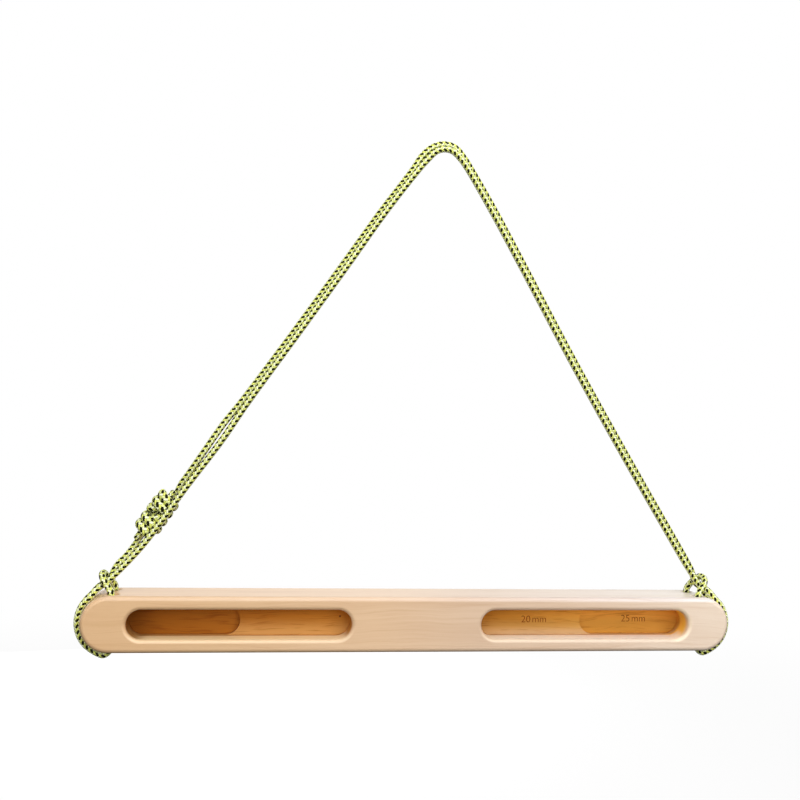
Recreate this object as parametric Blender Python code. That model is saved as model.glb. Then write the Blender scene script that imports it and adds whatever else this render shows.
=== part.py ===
"""Portable hangboard.

A solid beech board with stadium outline and stepped finger pockets hangs level
from one ring of 5 mm cord. The ring is doubled over the hang point, goes round
each end of the board in a girth hitch through two upright holes, and is closed
on the back strand by a fisherman's bend.

Shapes are drawn from the board's centre: X along the board, Y to the back, Z up.
The part's origin is the hang point, under the inner strand at the apex.
"""

import math

import bmesh
import bpy
from mathutils import Matrix, Vector

# Board
BOARD_LENGTH = 0.500
BOARD_HEIGHT = 0.042
BOARD_DEPTH = 0.044
EDGE_ROUNDOVER = 0.0035

# Finger pockets: two in front and two behind, each with a step half way along
POCKET_INNER_END = 0.050
POCKET_OUTER_END = 0.217
POCKET_HEIGHT = 0.022
POCKET_MOUTH_ROUNDOVER = 0.003
FRONT_FLOOR_DEPTH = 0.020
FRONT_STEP_DEPTH = 0.025
WEB_THICKNESS = 0.009

# Upright cord holes, two near each end
CORD_DIAMETER = 0.005
HOLE_DIAMETER = 0.0065
HOLE_INSET = 0.022
HOLE_SPACING = 0.022
HOLE_MOUTH_ROUNDOVER = 0.0035

# Cord clearances
SEAT_GAP = 0.0003
TURN_GAP = 0.0006
CORE_GAP = 0.0005
JOINT_GAP = 0.0003
BEND_GAP = 0.0007

# Knot: two wound barrels, pressed thinner where the cord is pulled tight
KNOT_CENTRE = (-0.1981, 0.0083, 0.0787)
KNOT_LEAN = math.radians(34)
KNOT_CORD_DIAMETER = 0.0044
KNOT_PITCH = 0.0067
KNOT_TURNS = 2.5
LOWER_TAIL = 0.0094
UPPER_TAIL = 0.0066
KNOT_TAPER = 0.008
KNOT_TWIST = math.radians(55)
TWIST_REACH = 0.009
MIDDLE_SPACE = 0.25 * KNOT_PITCH

# Inside each barrel: where the cord and its tail lie, and how it curls and tucks
OWN_PLACE = math.radians(150)
TAIL_PLACE = math.radians(-90)
FIRST_TURN = math.radians(242)
LAST_TURN = math.radians(-12)
CURL_RISE = 0.0028
CURL_DROP = 0.0062
CURL_SWEEP = 0.0090
TUCK_SWEEP = 0.0095
TUCK_RISE = 0.0065
TUCK_DEPTH = 0.0080

# Hang point above the board's centre, and the level of the tilt axis
HANG_POINT = (0.0150, 0.0, 0.3654)
TILT_LEVEL = 0.0310

# Facets
END_SEGMENTS = 24
POCKET_SEGMENTS = 16
HOLE_SEGMENTS = 20
ROUNDOVER_SEGMENTS = 5
MOUTH_SEGMENTS = 4
TURN_POINTS = 16
CURL_POINTS = 6
CORE_POINTS = 4
STRAND_STEP = 2 * CORD_DIAMETER
HITCH_STEP = 0.6 * CORD_DIAMETER
CLEAR_OF_END = 1.4 * CORD_DIAMETER
STRAND_RESOLUTION = 3
WOUND_RESOLUTION = 2
OVERCUT = 0.001
CRISP_ANGLE = math.radians(40)
SMALL_SHARE = 0.01

# Cord routes, read from the photograph, measured from the board's centre.
# Each limb is listed downwards; the front strand is the inner one.
FRONT_LEFT_LIMB = (
    (0.0150, -0.0020, 0.3679),
    (0.0080, -0.0020, 0.3659),
    (0.0010, -0.0021, 0.3590),
    (-0.0068, -0.0022, 0.3495),
    (-0.0315, -0.0022, 0.3155),
    (-0.0570, -0.0022, 0.2770),
    (-0.0955, -0.0022, 0.2200),
    (-0.1340, -0.0025, 0.1635),
    (-0.1511, -0.0032, 0.1365),
    (-0.1774, -0.0036, 0.0997),
    (-0.1947, -0.0036, 0.0742),
    (-0.2070, -0.0035, 0.0572),
    (-0.2180, -0.0030, 0.0442),
)
BACK_LEFT_LIMB = (
    (0.0148, 0.0022, 0.3726),
    (0.0060, 0.0022, 0.3702),
    (-0.0030, 0.0022, 0.3622),
    (-0.0095, 0.0022, 0.3517),
    (-0.0340, 0.0022, 0.3172),
    (-0.0598, 0.0023, 0.2787),
    (-0.0985, 0.0025, 0.2215),
    (-0.1380, 0.0032, 0.1650),
    (-0.1500, 0.0038, 0.1492),
    (-0.1640, 0.0045, 0.1278),
    (-0.1747, 0.0063, 0.1112),
    (-0.1810, 0.0079, 0.1017),
)
BACK_LEFT_FOOT = (
    (-0.2137, 0.0100, 0.0560),
    (-0.2168, 0.0078, 0.0512),
    (-0.2206, 0.0054, 0.0465),
)
FRONT_RIGHT_LIMB = (
    (0.0215, -0.0020, 0.3663),
    (0.0285, -0.0021, 0.3596),
    (0.0338, -0.0022, 0.3524),
    (0.0540, -0.0022, 0.3203),
    (0.0758, -0.0022, 0.2835),
    (0.1192, -0.0022, 0.2090),
    (0.1652, -0.0023, 0.1335),
    (0.2013, -0.0026, 0.0762),
    (0.2196, -0.0029, 0.0473),
)
BACK_RIGHT_LIMB = (
    (0.0233, 0.0022, 0.3706),
    (0.0312, 0.0022, 0.3622),
    (0.0368, 0.0022, 0.3540),
    (0.0570, 0.0022, 0.3221),
    (0.0788, 0.0022, 0.2851),
    (0.1222, 0.0022, 0.2106),
    (0.1684, 0.0023, 0.1351),
    (0.2045, 0.0026, 0.0778),
    (0.2228, 0.0029, 0.0489),
)

# Girth hitch, listed outwards from the board's middle along the front half:
# under the bight, round the end, up its hole and over the standing pair.
HITCH_UNDER_BIGHT = (
    (0.2318, -0.0029, 0.0298),
    (0.2362, -0.0044, 0.0264),
    (0.2402, -0.0064, 0.0231),
)
FRONT_LEG = (
    (0.2294, -0.0106, 0.0232),
    (0.2313, -0.0096, 0.0260),
    (0.2335, -0.0092, 0.0290),
    (0.2354, -0.0073, 0.0320),
    (0.2363, -0.0039, 0.0339),
)
BIGHT_TOP = (0.2364, 0.0, 0.0346)
BACK_LEG = (
    (0.2358, 0.0042, 0.0343),
    (0.2344, 0.0076, 0.0321),
    (0.2316, 0.0093, 0.0290),
    (0.2292, 0.0099, 0.0260),
    (0.2280, 0.0106, 0.0232),
)
WRAP_START_Y = 0.0078
WRAP_ANGLES = (math.radians(52), math.radians(-62))
WRAP_POINTS = 7
BEND_ANGLES = (math.radians(-105), math.radians(-140), math.radians(-180))
LEFT_JOINTS = ((-0.2247, -0.0029, 0.0370), (-0.2265, 0.0031, 0.0400))
RIGHT_JOINTS = ((0.2255, -0.0029, 0.0388), (0.2280, 0.0029, 0.0398))

CORD_RADIUS = CORD_DIAMETER / 2
KNOT_RADIUS = KNOT_CORD_DIAMETER / 2
END_RADIUS = BOARD_HEIGHT / 2
END_CENTRE = BOARD_LENGTH / 2 - END_RADIUS
HALF_DEPTH = BOARD_DEPTH / 2
HOLE_X = BOARD_LENGTH / 2 - HOLE_INSET
HOLE_Y = HOLE_SPACING / 2


def clear_scene():
    """Remove every object that the file holds."""
    for item in list(bpy.data.objects):
        bpy.data.objects.remove(item, do_unlink=True)


def make_material(name, colour, roughness):
    """Return a Principled BSDF material."""
    material = bpy.data.materials.new(name)
    material.use_nodes = True
    shader = material.node_tree.nodes["Principled BSDF"]
    shader.inputs["Base Color"].default_value = (*colour, 1.0)
    shader.inputs["Roughness"].default_value = roughness
    shader.inputs["Metallic"].default_value = 0.0
    return material


def mesh_object(name, form, smooth_angle=None):
    """Turn a bmesh into a linked object with its faces pointing out."""
    bmesh.ops.recalc_face_normals(form, faces=form.faces)
    mesh = bpy.data.meshes.new(name)
    form.to_mesh(mesh)
    form.free()
    if smooth_angle is not None:
        mesh.shade_smooth()
        mesh.set_sharp_from_angle(angle=smooth_angle)
    item = bpy.data.objects.new(name, mesh)
    bpy.context.scene.collection.objects.link(item)
    return item


def arc_points(centre, radius, start, end, segments):
    """Points of an arc in the X-Z plane, both ends included."""
    angles = [start + (end - start) * i / segments for i in range(segments + 1)]
    return [(centre + radius * math.cos(a), radius * math.sin(a)) for a in angles]


def stadium_outline(near, far, radius, segments):
    """Slot outline whose arc centres stand at near and far along X."""
    right = arc_points(far, radius, math.pi / 2, -math.pi / 2, segments)
    left = arc_points(near, radius, -math.pi / 2, -3 * math.pi / 2, segments)
    return right + left


def add_ring(form, outline, y):
    """Add one ring of vertices at depth y."""
    return [form.verts.new((x, y, z)) for x, z in outline]


def bridge_rings(form, ring, other):
    """Join two rings of equal count with quads."""
    for i in range(len(ring)):
        j = (i + 1) % len(ring)
        form.faces.new((ring[i], ring[j], other[j], other[i]))


def quarter_steps(segments):
    """Sine and cosine pairs from zero to a quarter turn."""
    angles = [math.pi / 2 * i / segments for i in range(segments + 1)]
    return [(math.sin(a), math.cos(a)) for a in angles]


def board_sections():
    """Depth and outline inset of each ring, front face to back face."""
    front = []
    for rise, run in quarter_steps(ROUNDOVER_SEGMENTS):
        depth = EDGE_ROUNDOVER * (1 - run) - HALF_DEPTH
        front.append((depth, EDGE_ROUNDOVER * (1 - rise)))
    back = [(-depth, inset) for depth, inset in reversed(front)]
    return front + back


def build_board_blank():
    """Loft the rounded board from stadium rings."""
    form = bmesh.new()
    rings = []
    for depth, inset in board_sections():
        radius = END_RADIUS - inset
        outline = stadium_outline(-END_CENTRE, END_CENTRE, radius, END_SEGMENTS)
        rings.append(add_ring(form, outline, depth))
    for ring, other in zip(rings, rings[1:]):
        bridge_rings(form, ring, other)
    form.faces.new(rings[0])
    form.faces.new(rings[-1])
    return mesh_object("board", form, CRISP_ANGLE)


def pocket_rings(face):
    """Depth and outward offset of each ring from outside the mouth inwards."""
    rings = [(-OVERCUT, POCKET_MOUTH_ROUNDOVER)]
    for rise, run in quarter_steps(MOUTH_SEGMENTS):
        offset = POCKET_MOUTH_ROUNDOVER * (1 - rise)
        rings.append((POCKET_MOUTH_ROUNDOVER * (1 - run), offset))
    return [(face * (HALF_DEPTH - depth), offset) for depth, offset in rings]


def pocket_outline(offset, split):
    """Pocket outline that starts at the split, runs outwards and returns.

    The first half holds the outer end, the second half the inner end.
    """
    half = POCKET_HEIGHT / 2
    near = POCKET_INNER_END + half
    far = POCKET_OUTER_END - half
    radius = half + offset
    outer = arc_points(far, radius, math.pi / 2, -math.pi / 2, POCKET_SEGMENTS)
    inner = arc_points(near, radius, -math.pi / 2, -3 * math.pi / 2, POCKET_SEGMENTS)
    return [(split, radius), *outer, (split, -radius)], inner


def build_pocket_cutter(name, face, side, floor_depth, step_depth, step_outside):
    """One stepped slot: the floor along it all, the step in one half of it."""
    half = POCKET_HEIGHT / 2
    bulge = -1 if step_outside else 1
    split = (POCKET_INNER_END + POCKET_OUTER_END) / 2 - bulge * half
    floor_y = face * (HALF_DEPTH - floor_depth)
    form = bmesh.new()
    rings = []
    for y, offset in [*pocket_rings(face), (floor_y, 0.0)]:
        outer, inner = pocket_outline(offset, split)
        rings.append(add_ring(form, outer + inner, y))
    for ring, other in zip(rings, rings[1:]):
        bridge_rings(form, ring, other)
    form.faces.new(rings[0])
    outer_edge = rings[-1][:len(outer)]
    inner_edge = rings[-1][len(outer):]
    start = -math.pi / 2
    arc = arc_points(split, half, start, start + bulge * math.pi, POCKET_SEGMENTS)
    step_edge = add_ring(form, arc[1:-1], floor_y)
    outer_loop = outer_edge + step_edge
    inner_loop = [outer_edge[-1], *inner_edge, outer_edge[0], *reversed(step_edge)]
    rim, floor = (outer_loop, inner_loop) if step_outside else (inner_loop, outer_loop)
    form.faces.new(floor)
    bottom_y = face * (HALF_DEPTH - step_depth)
    bottom = [form.verts.new((v.co.x, bottom_y, v.co.z)) for v in rim]
    bridge_rings(form, rim, bottom)
    form.faces.new(bottom)
    for vert in form.verts:
        vert.co.x *= side
    return hide_cutter(mesh_object(name, form))


def build_hole_cutter(name, x, y):
    """Upright hole with a rounded mouth at both ends."""
    bore = HOLE_DIAMETER / 2
    levels = [(END_RADIUS + OVERCUT, bore + HOLE_MOUTH_ROUNDOVER)]
    for rise, run in quarter_steps(MOUTH_SEGMENTS):
        level = END_RADIUS - HOLE_MOUTH_ROUNDOVER * (1 - run)
        levels.append((level, bore + HOLE_MOUTH_ROUNDOVER * (1 - rise)))
    levels += [(-z, radius) for z, radius in reversed(levels)]
    form = bmesh.new()
    rings = []
    for z, radius in levels:
        ring = []
        for i in range(HOLE_SEGMENTS):
            turn = math.tau * i / HOLE_SEGMENTS
            ring.append(form.verts.new((x + radius * math.cos(turn), y + radius * math.sin(turn), z)))
        rings.append(ring)
    for ring, other in zip(rings, rings[1:]):
        bridge_rings(form, ring, other)
    form.faces.new(rings[0])
    form.faces.new(rings[-1])
    return hide_cutter(mesh_object(name, form))


def hide_cutter(item):
    """Keep a cutter out of the picture and draw it as lines."""
    item.hide_render = True
    item.display_type = "WIRE"
    return item


def cut_away(target, cutter):
    """Subtract the cutter from the target with an exact Boolean."""
    modifier = target.modifiers.new(cutter.name, "BOOLEAN")
    modifier.operation = "DIFFERENCE"
    modifier.solver = "EXACT"
    modifier.object = cutter


def board_cutters():
    """Every pocket and hole that is cut from the blank."""
    behind_step = BOARD_DEPTH - WEB_THICKNESS - FRONT_STEP_DEPTH
    behind_floor = BOARD_DEPTH - WEB_THICKNESS - FRONT_FLOOR_DEPTH
    cutters = []
    for side, word in ((-1, "left"), (1, "right")):
        front = (-1, side, FRONT_FLOOR_DEPTH, FRONT_STEP_DEPTH, True)
        back = (1, side, behind_step, behind_floor, False)
        cutters.append(build_pocket_cutter(f"front_{word}_pocket", *front))
        cutters.append(build_pocket_cutter(f"back_{word}_pocket", *back))
        for y, place in ((-HOLE_Y, "front"), (HOLE_Y, "back")):
            cutters.append(build_hole_cutter(f"{word}_{place}_hole", side * HOLE_X, y))
    return cutters


def build_board():
    """Blank, pockets and cord holes."""
    board = build_board_blank()
    cutters = board_cutters()
    for cutter in cutters:
        cut_away(board, cutter)
    board.data.materials.append(make_material("beech", (0.80, 0.60, 0.40), 0.5))
    return board, cutters


def curve_point(points, share):
    """Point of a centripetal curve between the second and third of four points."""
    k = [0.0]
    for first, second in zip(points, points[1:]):
        k.append(k[-1] + math.sqrt((second - first).length))
    t = k[1] + (k[2] - k[1]) * share

    def mix(first, second, low, high):
        return first.lerp(second, (t - low) / (high - low))

    one = mix(points[0], points[1], k[0], k[1])
    two = mix(points[1], points[2], k[1], k[2])
    three = mix(points[2], points[3], k[2], k[3])
    return mix(mix(one, two, k[0], k[2]), mix(two, three, k[1], k[3]), k[1], k[2])


def smooth_curve(before, points, after, step):
    """Smooth line through the points, a sample about every step."""
    line = [before, *points, after]
    samples = []
    for i in range(1, len(points)):
        four = line[i - 1:i + 3]
        count = max(1, round((four[2] - four[1]).length / step))
        samples += [curve_point(four, j / count) for j in range(count)]
    return [*samples, points[-1]]


def bezier(start, start_handle, end_handle, end, count):
    """Points between two ends of a cubic curve, both ends left out."""
    points = []
    for i in range(1, count):
        t = i / count
        s = 1 - t
        point = start * s**3 + start_handle * (3 * s * s * t)
        points.append(point + end_handle * (3 * s * t * t) + end * t**3)
    return points


def core_radius():
    """Distance from the knot's axis to each of the three cords inside a barrel."""
    return (KNOT_CORD_DIAMETER + CORE_GAP) / math.sqrt(3)


def turn_radius():
    """Distance from the knot's axis to the cord of a turn."""
    return core_radius() + KNOT_CORD_DIAMETER + TURN_GAP


def around(radius, angle, along):
    """Point beside the knot's axis: outwards, back and along."""
    return Vector((radius * math.cos(angle), radius * math.sin(angle), along))


def turn_point(angle):
    """Point of the turns at this angle of winding.

    They end a little short of the knot's middle.
    """
    start = -KNOT_TURNS * KNOT_PITCH - MIDDLE_SPACE
    return around(turn_radius(), angle, start + KNOT_PITCH * angle / math.tau)


def curl_foot():
    """Level in the knot where the cord leaves the core to curl out."""
    return turn_point(FIRST_TURN).z + CURL_RISE


def tail_level(tail):
    """Level in a barrel where its cut tail ends."""
    return curl_foot() - CURL_RISE - tail


def core_points(level):
    """Points of the cord in the core, from the knot's middle to a level."""
    return [around(core_radius(), OWN_PLACE, level * i / CORE_POINTS) for i in range(CORE_POINTS + 1)]


def core_route(tail):
    """Core of the other barrel, which the cord leaves beside that barrel's tail."""
    return core_points(-tail_level(tail))[1:]


def barrel_route(tail):
    """One end of the cord from the knot's middle, through its barrel, to its tail.

    It runs down the core, curls out, winds back up over itself and its
    neighbour, and is tucked down through its own turns.
    """
    last = math.tau * KNOT_TURNS + LAST_TURN
    rise = KNOT_PITCH / math.tau / turn_radius()
    lead = core_points(curl_foot())
    sweep = Vector((-math.sin(FIRST_TURN), math.cos(FIRST_TURN), rise)) * CURL_SWEEP
    handle = lead[-1] - Vector((0, 0, CURL_DROP))
    start = turn_point(FIRST_TURN)
    curl = bezier(lead[-1], handle, start - sweep, start, CURL_POINTS)
    steps = round((last - FIRST_TURN) / math.tau * TURN_POINTS)
    turns = [turn_point(FIRST_TURN + (last - FIRST_TURN) * i / steps) for i in range(steps + 1)]
    sweep = Vector((-math.sin(last), math.cos(last), rise)) * TUCK_SWEEP
    tucked = around(core_radius(), TAIL_PLACE, -TUCK_DEPTH)
    handle = tucked + Vector((0, 0, TUCK_RISE))
    tuck = bezier(turns[-1], turns[-1] + sweep, handle, tucked, CURL_POINTS)
    tail_end = around(core_radius(), TAIL_PLACE, tail_level(tail))
    return lead + curl + turns + tuck + [tucked, (tucked + tail_end) / 2, tail_end]


def knot_axes():
    """Outward, back and along directions of the knot."""
    along = Vector((math.sin(KNOT_LEAN), 0, math.cos(KNOT_LEAN)))
    outward = Vector((-math.cos(KNOT_LEAN), 0, math.sin(KNOT_LEAN)))
    return outward, Vector((0, 1, 0)), along


def place_in_knot(point, turned=False):
    """Place a barrel's point; the upper barrel is the lower one turned half round.

    The lower barrel is also twisted on from the upper one about the knot's axis.
    """
    outward, back, along = knot_axes()
    sign = -1 if turned else 1
    level = sign * point.z
    share = min(1.0, max(0.0, 0.5 - level / (2 * TWIST_REACH)))
    spin = Matrix.Rotation(KNOT_TWIST * share, 2)
    aside, behind = spin @ Vector((sign * point.x, point.y))
    return Vector(KNOT_CENTRE) + outward * aside + back * behind + along * level


def hitch_half():
    """Front half of a hitch, from under the bight to the way out of the hole."""
    points = [Vector(p) for p in HITCH_UNDER_BIGHT]
    wrap = END_RADIUS + SEAT_GAP + CORD_RADIUS
    first, last = WRAP_ANGLES
    for i in range(WRAP_POINTS):
        share = i / (WRAP_POINTS - 1)
        turn = first + (last - first) * share
        y = -WRAP_START_Y - (HOLE_Y - WRAP_START_Y) * share
        points.append(Vector((END_CENTRE + wrap * math.cos(turn), y, wrap * math.sin(turn))))
    bend = HOLE_MOUTH_ROUNDOVER + BEND_GAP + CORD_RADIUS
    corner_x = HOLE_X + HOLE_DIAMETER / 2 + HOLE_MOUTH_ROUNDOVER
    mouth_z = END_RADIUS - HOLE_MOUTH_ROUNDOVER
    for turn in BEND_ANGLES:
        place = (corner_x + bend * math.cos(turn), -HOLE_Y, bend * math.sin(turn) - mouth_z)
        points.append(Vector(place))
    points += [Vector((HOLE_X, -HOLE_Y, z)) for z in (0, mouth_z)]
    return points


def hitch_route(side, joints):
    """Whole hitch from the front strand's joint to the back strand's."""
    half = hitch_half()
    back_half = [Vector((p.x, -p.y, p.z)) for p in reversed(half)]
    legs = [Vector(p) for p in (*FRONT_LEG, BIGHT_TOP, *BACK_LEG)]
    outward = half + legs + back_half
    placed = [Vector((side * p.x, p.y, p.z)) for p in outward]
    return [Vector(joints[0]), *placed, Vector(joints[1])]


def cord_sections():
    """The whole cord in order, from one tail in the knot to the other."""
    lower = [place_in_knot(p) for p in reversed(barrel_route(LOWER_TAIL))]
    upper = [place_in_knot(p, True) for p in barrel_route(UPPER_TAIL)]
    left = hitch_route(-1, LEFT_JOINTS)
    right = hitch_route(1, RIGHT_JOINTS)
    climb = [lower[-1], *[place_in_knot(p) for p in core_route(UPPER_TAIL)]]
    drop = [*[place_in_knot(p, True) for p in core_route(LOWER_TAIL)], *map(Vector, BACK_LEFT_FOOT)]
    limb = [Vector(p) for p in (*reversed(BACK_LEFT_LIMB), *BACK_RIGHT_LIMB)]
    front = [Vector(p) for p in (*reversed(FRONT_RIGHT_LIMB), *FRONT_LEFT_LIMB)]
    return [
        ("knot_lower_barrel", lower),
        ("back_strand_upper", [*climb, *limb, right[-1]]),
        ("right_hitch", right[::-1]),
        ("front_strand", [right[0], *front, left[0]]),
        ("left_hitch", left),
        ("back_strand_lower", [left[-1], *reversed(drop), upper[0]]),
        ("knot_upper_barrel", upper),
    ]


def thickness(point):
    """Share of the full diameter: the cord is pressed thinner inside the knot."""
    outward, back, along = knot_axes()
    level = (Vector(point) - Vector(KNOT_CENTRE)).dot(along)
    beyond = max(0.0, abs(level) + tail_level(LOWER_TAIL if level < 0 else UPPER_TAIL))
    pressed = KNOT_CORD_DIAMETER / CORD_DIAMETER
    return min(1.0, pressed + (1 - pressed) * beyond / KNOT_TAPER)


def straight_end(line, along):
    """Let a line start with one straight diameter, half a gap from its joint."""
    joint = line[0]
    first = next(i for i, p in enumerate(line) if (p - joint).length > CLEAR_OF_END)
    return [joint + along * (JOINT_GAP / 2), joint + along * CORD_DIAMETER, *line[first:]]


def joint_direction(section, following):
    """Direction of the cord where one section hands over to the next."""
    four = [section[-2], *following[:3]]
    return (curve_point(four, SMALL_SHARE) - following[0]).normalized()


def is_wound(name):
    """Whether this length of the cord is part of a knot or a hitch."""
    return name.startswith("knot") or name.endswith("hitch")


def sample_sections(sections):
    """Sampled points of each section, meeting square and a gap apart."""
    sampled = {}
    final = len(sections) - 1
    for i, (name, points) in enumerate(sections):
        before = sections[i - 1][1][-2] if i else 2 * points[0] - points[1]
        after = sections[i + 1][1][1] if i < final else 2 * points[-1] - points[-2]
        line = smooth_curve(before, points, after, HITCH_STEP if is_wound(name) else STRAND_STEP)
        if i:
            line = straight_end(line, joint_direction(sections[i - 1][1], points))
        if i < final:
            line = straight_end(line[::-1], -joint_direction(points, sections[i + 1][1]))[::-1]
        sampled[name] = line
    return sampled


def least_gap(line, diameter):
    """Least gap of a wound tube to itself, more than two diameters along it."""
    lengths = [0.0]
    for first, second in zip(line, line[1:]):
        lengths.append(lengths[-1] + (second - first).length)
    least = 1.0
    for i, first in enumerate(line):
        for j in range(i + 1, len(line)):
            if lengths[j] - lengths[i] > 2 * diameter:
                least = min(least, (line[j] - first).length - diameter)
    return least


def build_tube(name, line, in_knot, resolution, material):
    """Cord tube along the line, closed at both ends."""
    data = bpy.data.curves.new(name, "CURVE")
    data.dimensions = "3D"
    data.bevel_depth = CORD_RADIUS
    data.bevel_resolution = resolution
    data.use_fill_caps = True
    spline = data.splines.new("POLY")
    spline.points.add(len(line) - 1)
    for point, place in zip(spline.points, line):
        point.co = (*place, 1.0)
        point.radius = thickness(place) if in_knot else 1.0
    spline.use_smooth = True
    data.materials.append(material)
    item = bpy.data.objects.new(name, data)
    bpy.context.scene.collection.objects.link(item)
    return item


def build_cords():
    """Every length of the cord as its own tube."""
    cords = {}
    for name, line in sample_sections(cord_sections()).items():
        knotted = name.startswith(("knot", "back_strand"))
        wound = is_wound(name)
        resolution = WOUND_RESOLUTION if wound else STRAND_RESOLUTION
        colour = (0.55, 0.60, 0.08) if wound else (0.60, 0.66, 0.10)
        material = make_material(f"{name}_cord", colour, 0.8)
        cords[name] = build_tube(name, line, knotted, resolution, material)
        if wound:
            diameter = KNOT_CORD_DIAMETER if knotted else CORD_DIAMETER
            print(f"{name}: least gap {1000 * least_gap(line, diameter):.2f} mm")
    return cords


def add_empty(name, place):
    """Empty that carries the pieces of a moving body."""
    empty = bpy.data.objects.new(name, None)
    empty.location = place
    bpy.context.scene.collection.objects.link(empty)
    return empty


def assemble(board, cutters, cords):
    """Hang everything from the origin; the board tilts on the hitches' level."""
    centre = -Vector(HANG_POINT)
    sling = add_empty("sling", (0, 0, 0))
    tilt_axis = add_empty("board_tilt_axis", centre + Vector((0, 0, TILT_LEVEL)))
    tilting = [board, *cutters, cords["left_hitch"], cords["right_hitch"]]
    for item in tilting:
        item.parent = tilt_axis
        item.location = (0, 0, -TILT_LEVEL)
    for item in cords.values():
        if item not in tilting:
            item.parent = sling
            item.location = centre


def main():
    clear_scene()
    board, cutters = build_board()
    assemble(board, cutters, build_cords())


main()
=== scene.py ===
"""Looks of a portable hangboard: a beech board on a doubled ring of braided cord.

Every length is in metres. Shapes are drawn from the board's centre, X along the
board, Y to the back, Z up, and are then hung below the hang point, which is the
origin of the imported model.
"""

import logging
import math
from collections.abc import Callable, Iterator
from contextlib import contextmanager
from dataclasses import dataclass, field
from enum import Enum

import bmesh
import bpy
from mathutils import Matrix, Vector

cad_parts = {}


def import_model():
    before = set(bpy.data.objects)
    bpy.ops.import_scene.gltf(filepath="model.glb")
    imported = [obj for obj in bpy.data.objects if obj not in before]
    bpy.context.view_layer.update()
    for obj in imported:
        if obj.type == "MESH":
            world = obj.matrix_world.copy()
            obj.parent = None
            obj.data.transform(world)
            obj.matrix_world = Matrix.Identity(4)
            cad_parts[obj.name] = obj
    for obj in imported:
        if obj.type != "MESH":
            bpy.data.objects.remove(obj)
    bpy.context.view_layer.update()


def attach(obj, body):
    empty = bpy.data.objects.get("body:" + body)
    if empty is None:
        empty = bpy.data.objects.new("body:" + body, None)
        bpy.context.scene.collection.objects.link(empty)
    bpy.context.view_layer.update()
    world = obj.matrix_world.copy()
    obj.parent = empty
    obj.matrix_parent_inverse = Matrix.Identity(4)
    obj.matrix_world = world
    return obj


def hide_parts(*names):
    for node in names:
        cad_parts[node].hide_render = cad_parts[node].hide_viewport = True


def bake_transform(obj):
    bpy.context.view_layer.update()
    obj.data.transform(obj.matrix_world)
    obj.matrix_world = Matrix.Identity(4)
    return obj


Point = tuple[float, float, float]
Colour = tuple[float, float, float]
Stops = tuple[tuple[float, Colour], ...]

LOG = logging.getLogger("hangboard")
HANG_POINT = Vector((0.0150, 0.0, 0.3654))
VIEWER_SIDE = Vector((0.0, -1.0, 0.0))


class Side(Enum):
    """Ends of the board, as the sign of X."""

    LEFT = -1
    RIGHT = 1


class Face(Enum):
    """Broad faces of the board, as the sign of Y."""

    FRONT = -1
    BACK = 1


class Body(Enum):
    """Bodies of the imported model."""

    SLING = "sling"
    BOARD = "board"


class Slot(Enum):
    """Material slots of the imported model."""

    BEECH = "beech"
    CORD = "cord"


# Shader bench


@dataclass(frozen=True)
class Fade:
    """Smooth rise from nought at one value to a share at another, which may be the lower."""

    start: float
    end: float
    share: float = 1.0

    def placed(self, offset: float = 0.0, scale: float = 1.0) -> "Fade":
        """The same fade, measured from another place or in another unit."""
        return Fade(self.start * scale + offset, self.end * scale + offset, self.share)


@dataclass(frozen=True)
class Grain:
    """Stretched noise: its waves per metre along X, Y and Z and its finer octaves."""

    waves: Point
    detail: float
    roughness: float = 0.5


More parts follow.
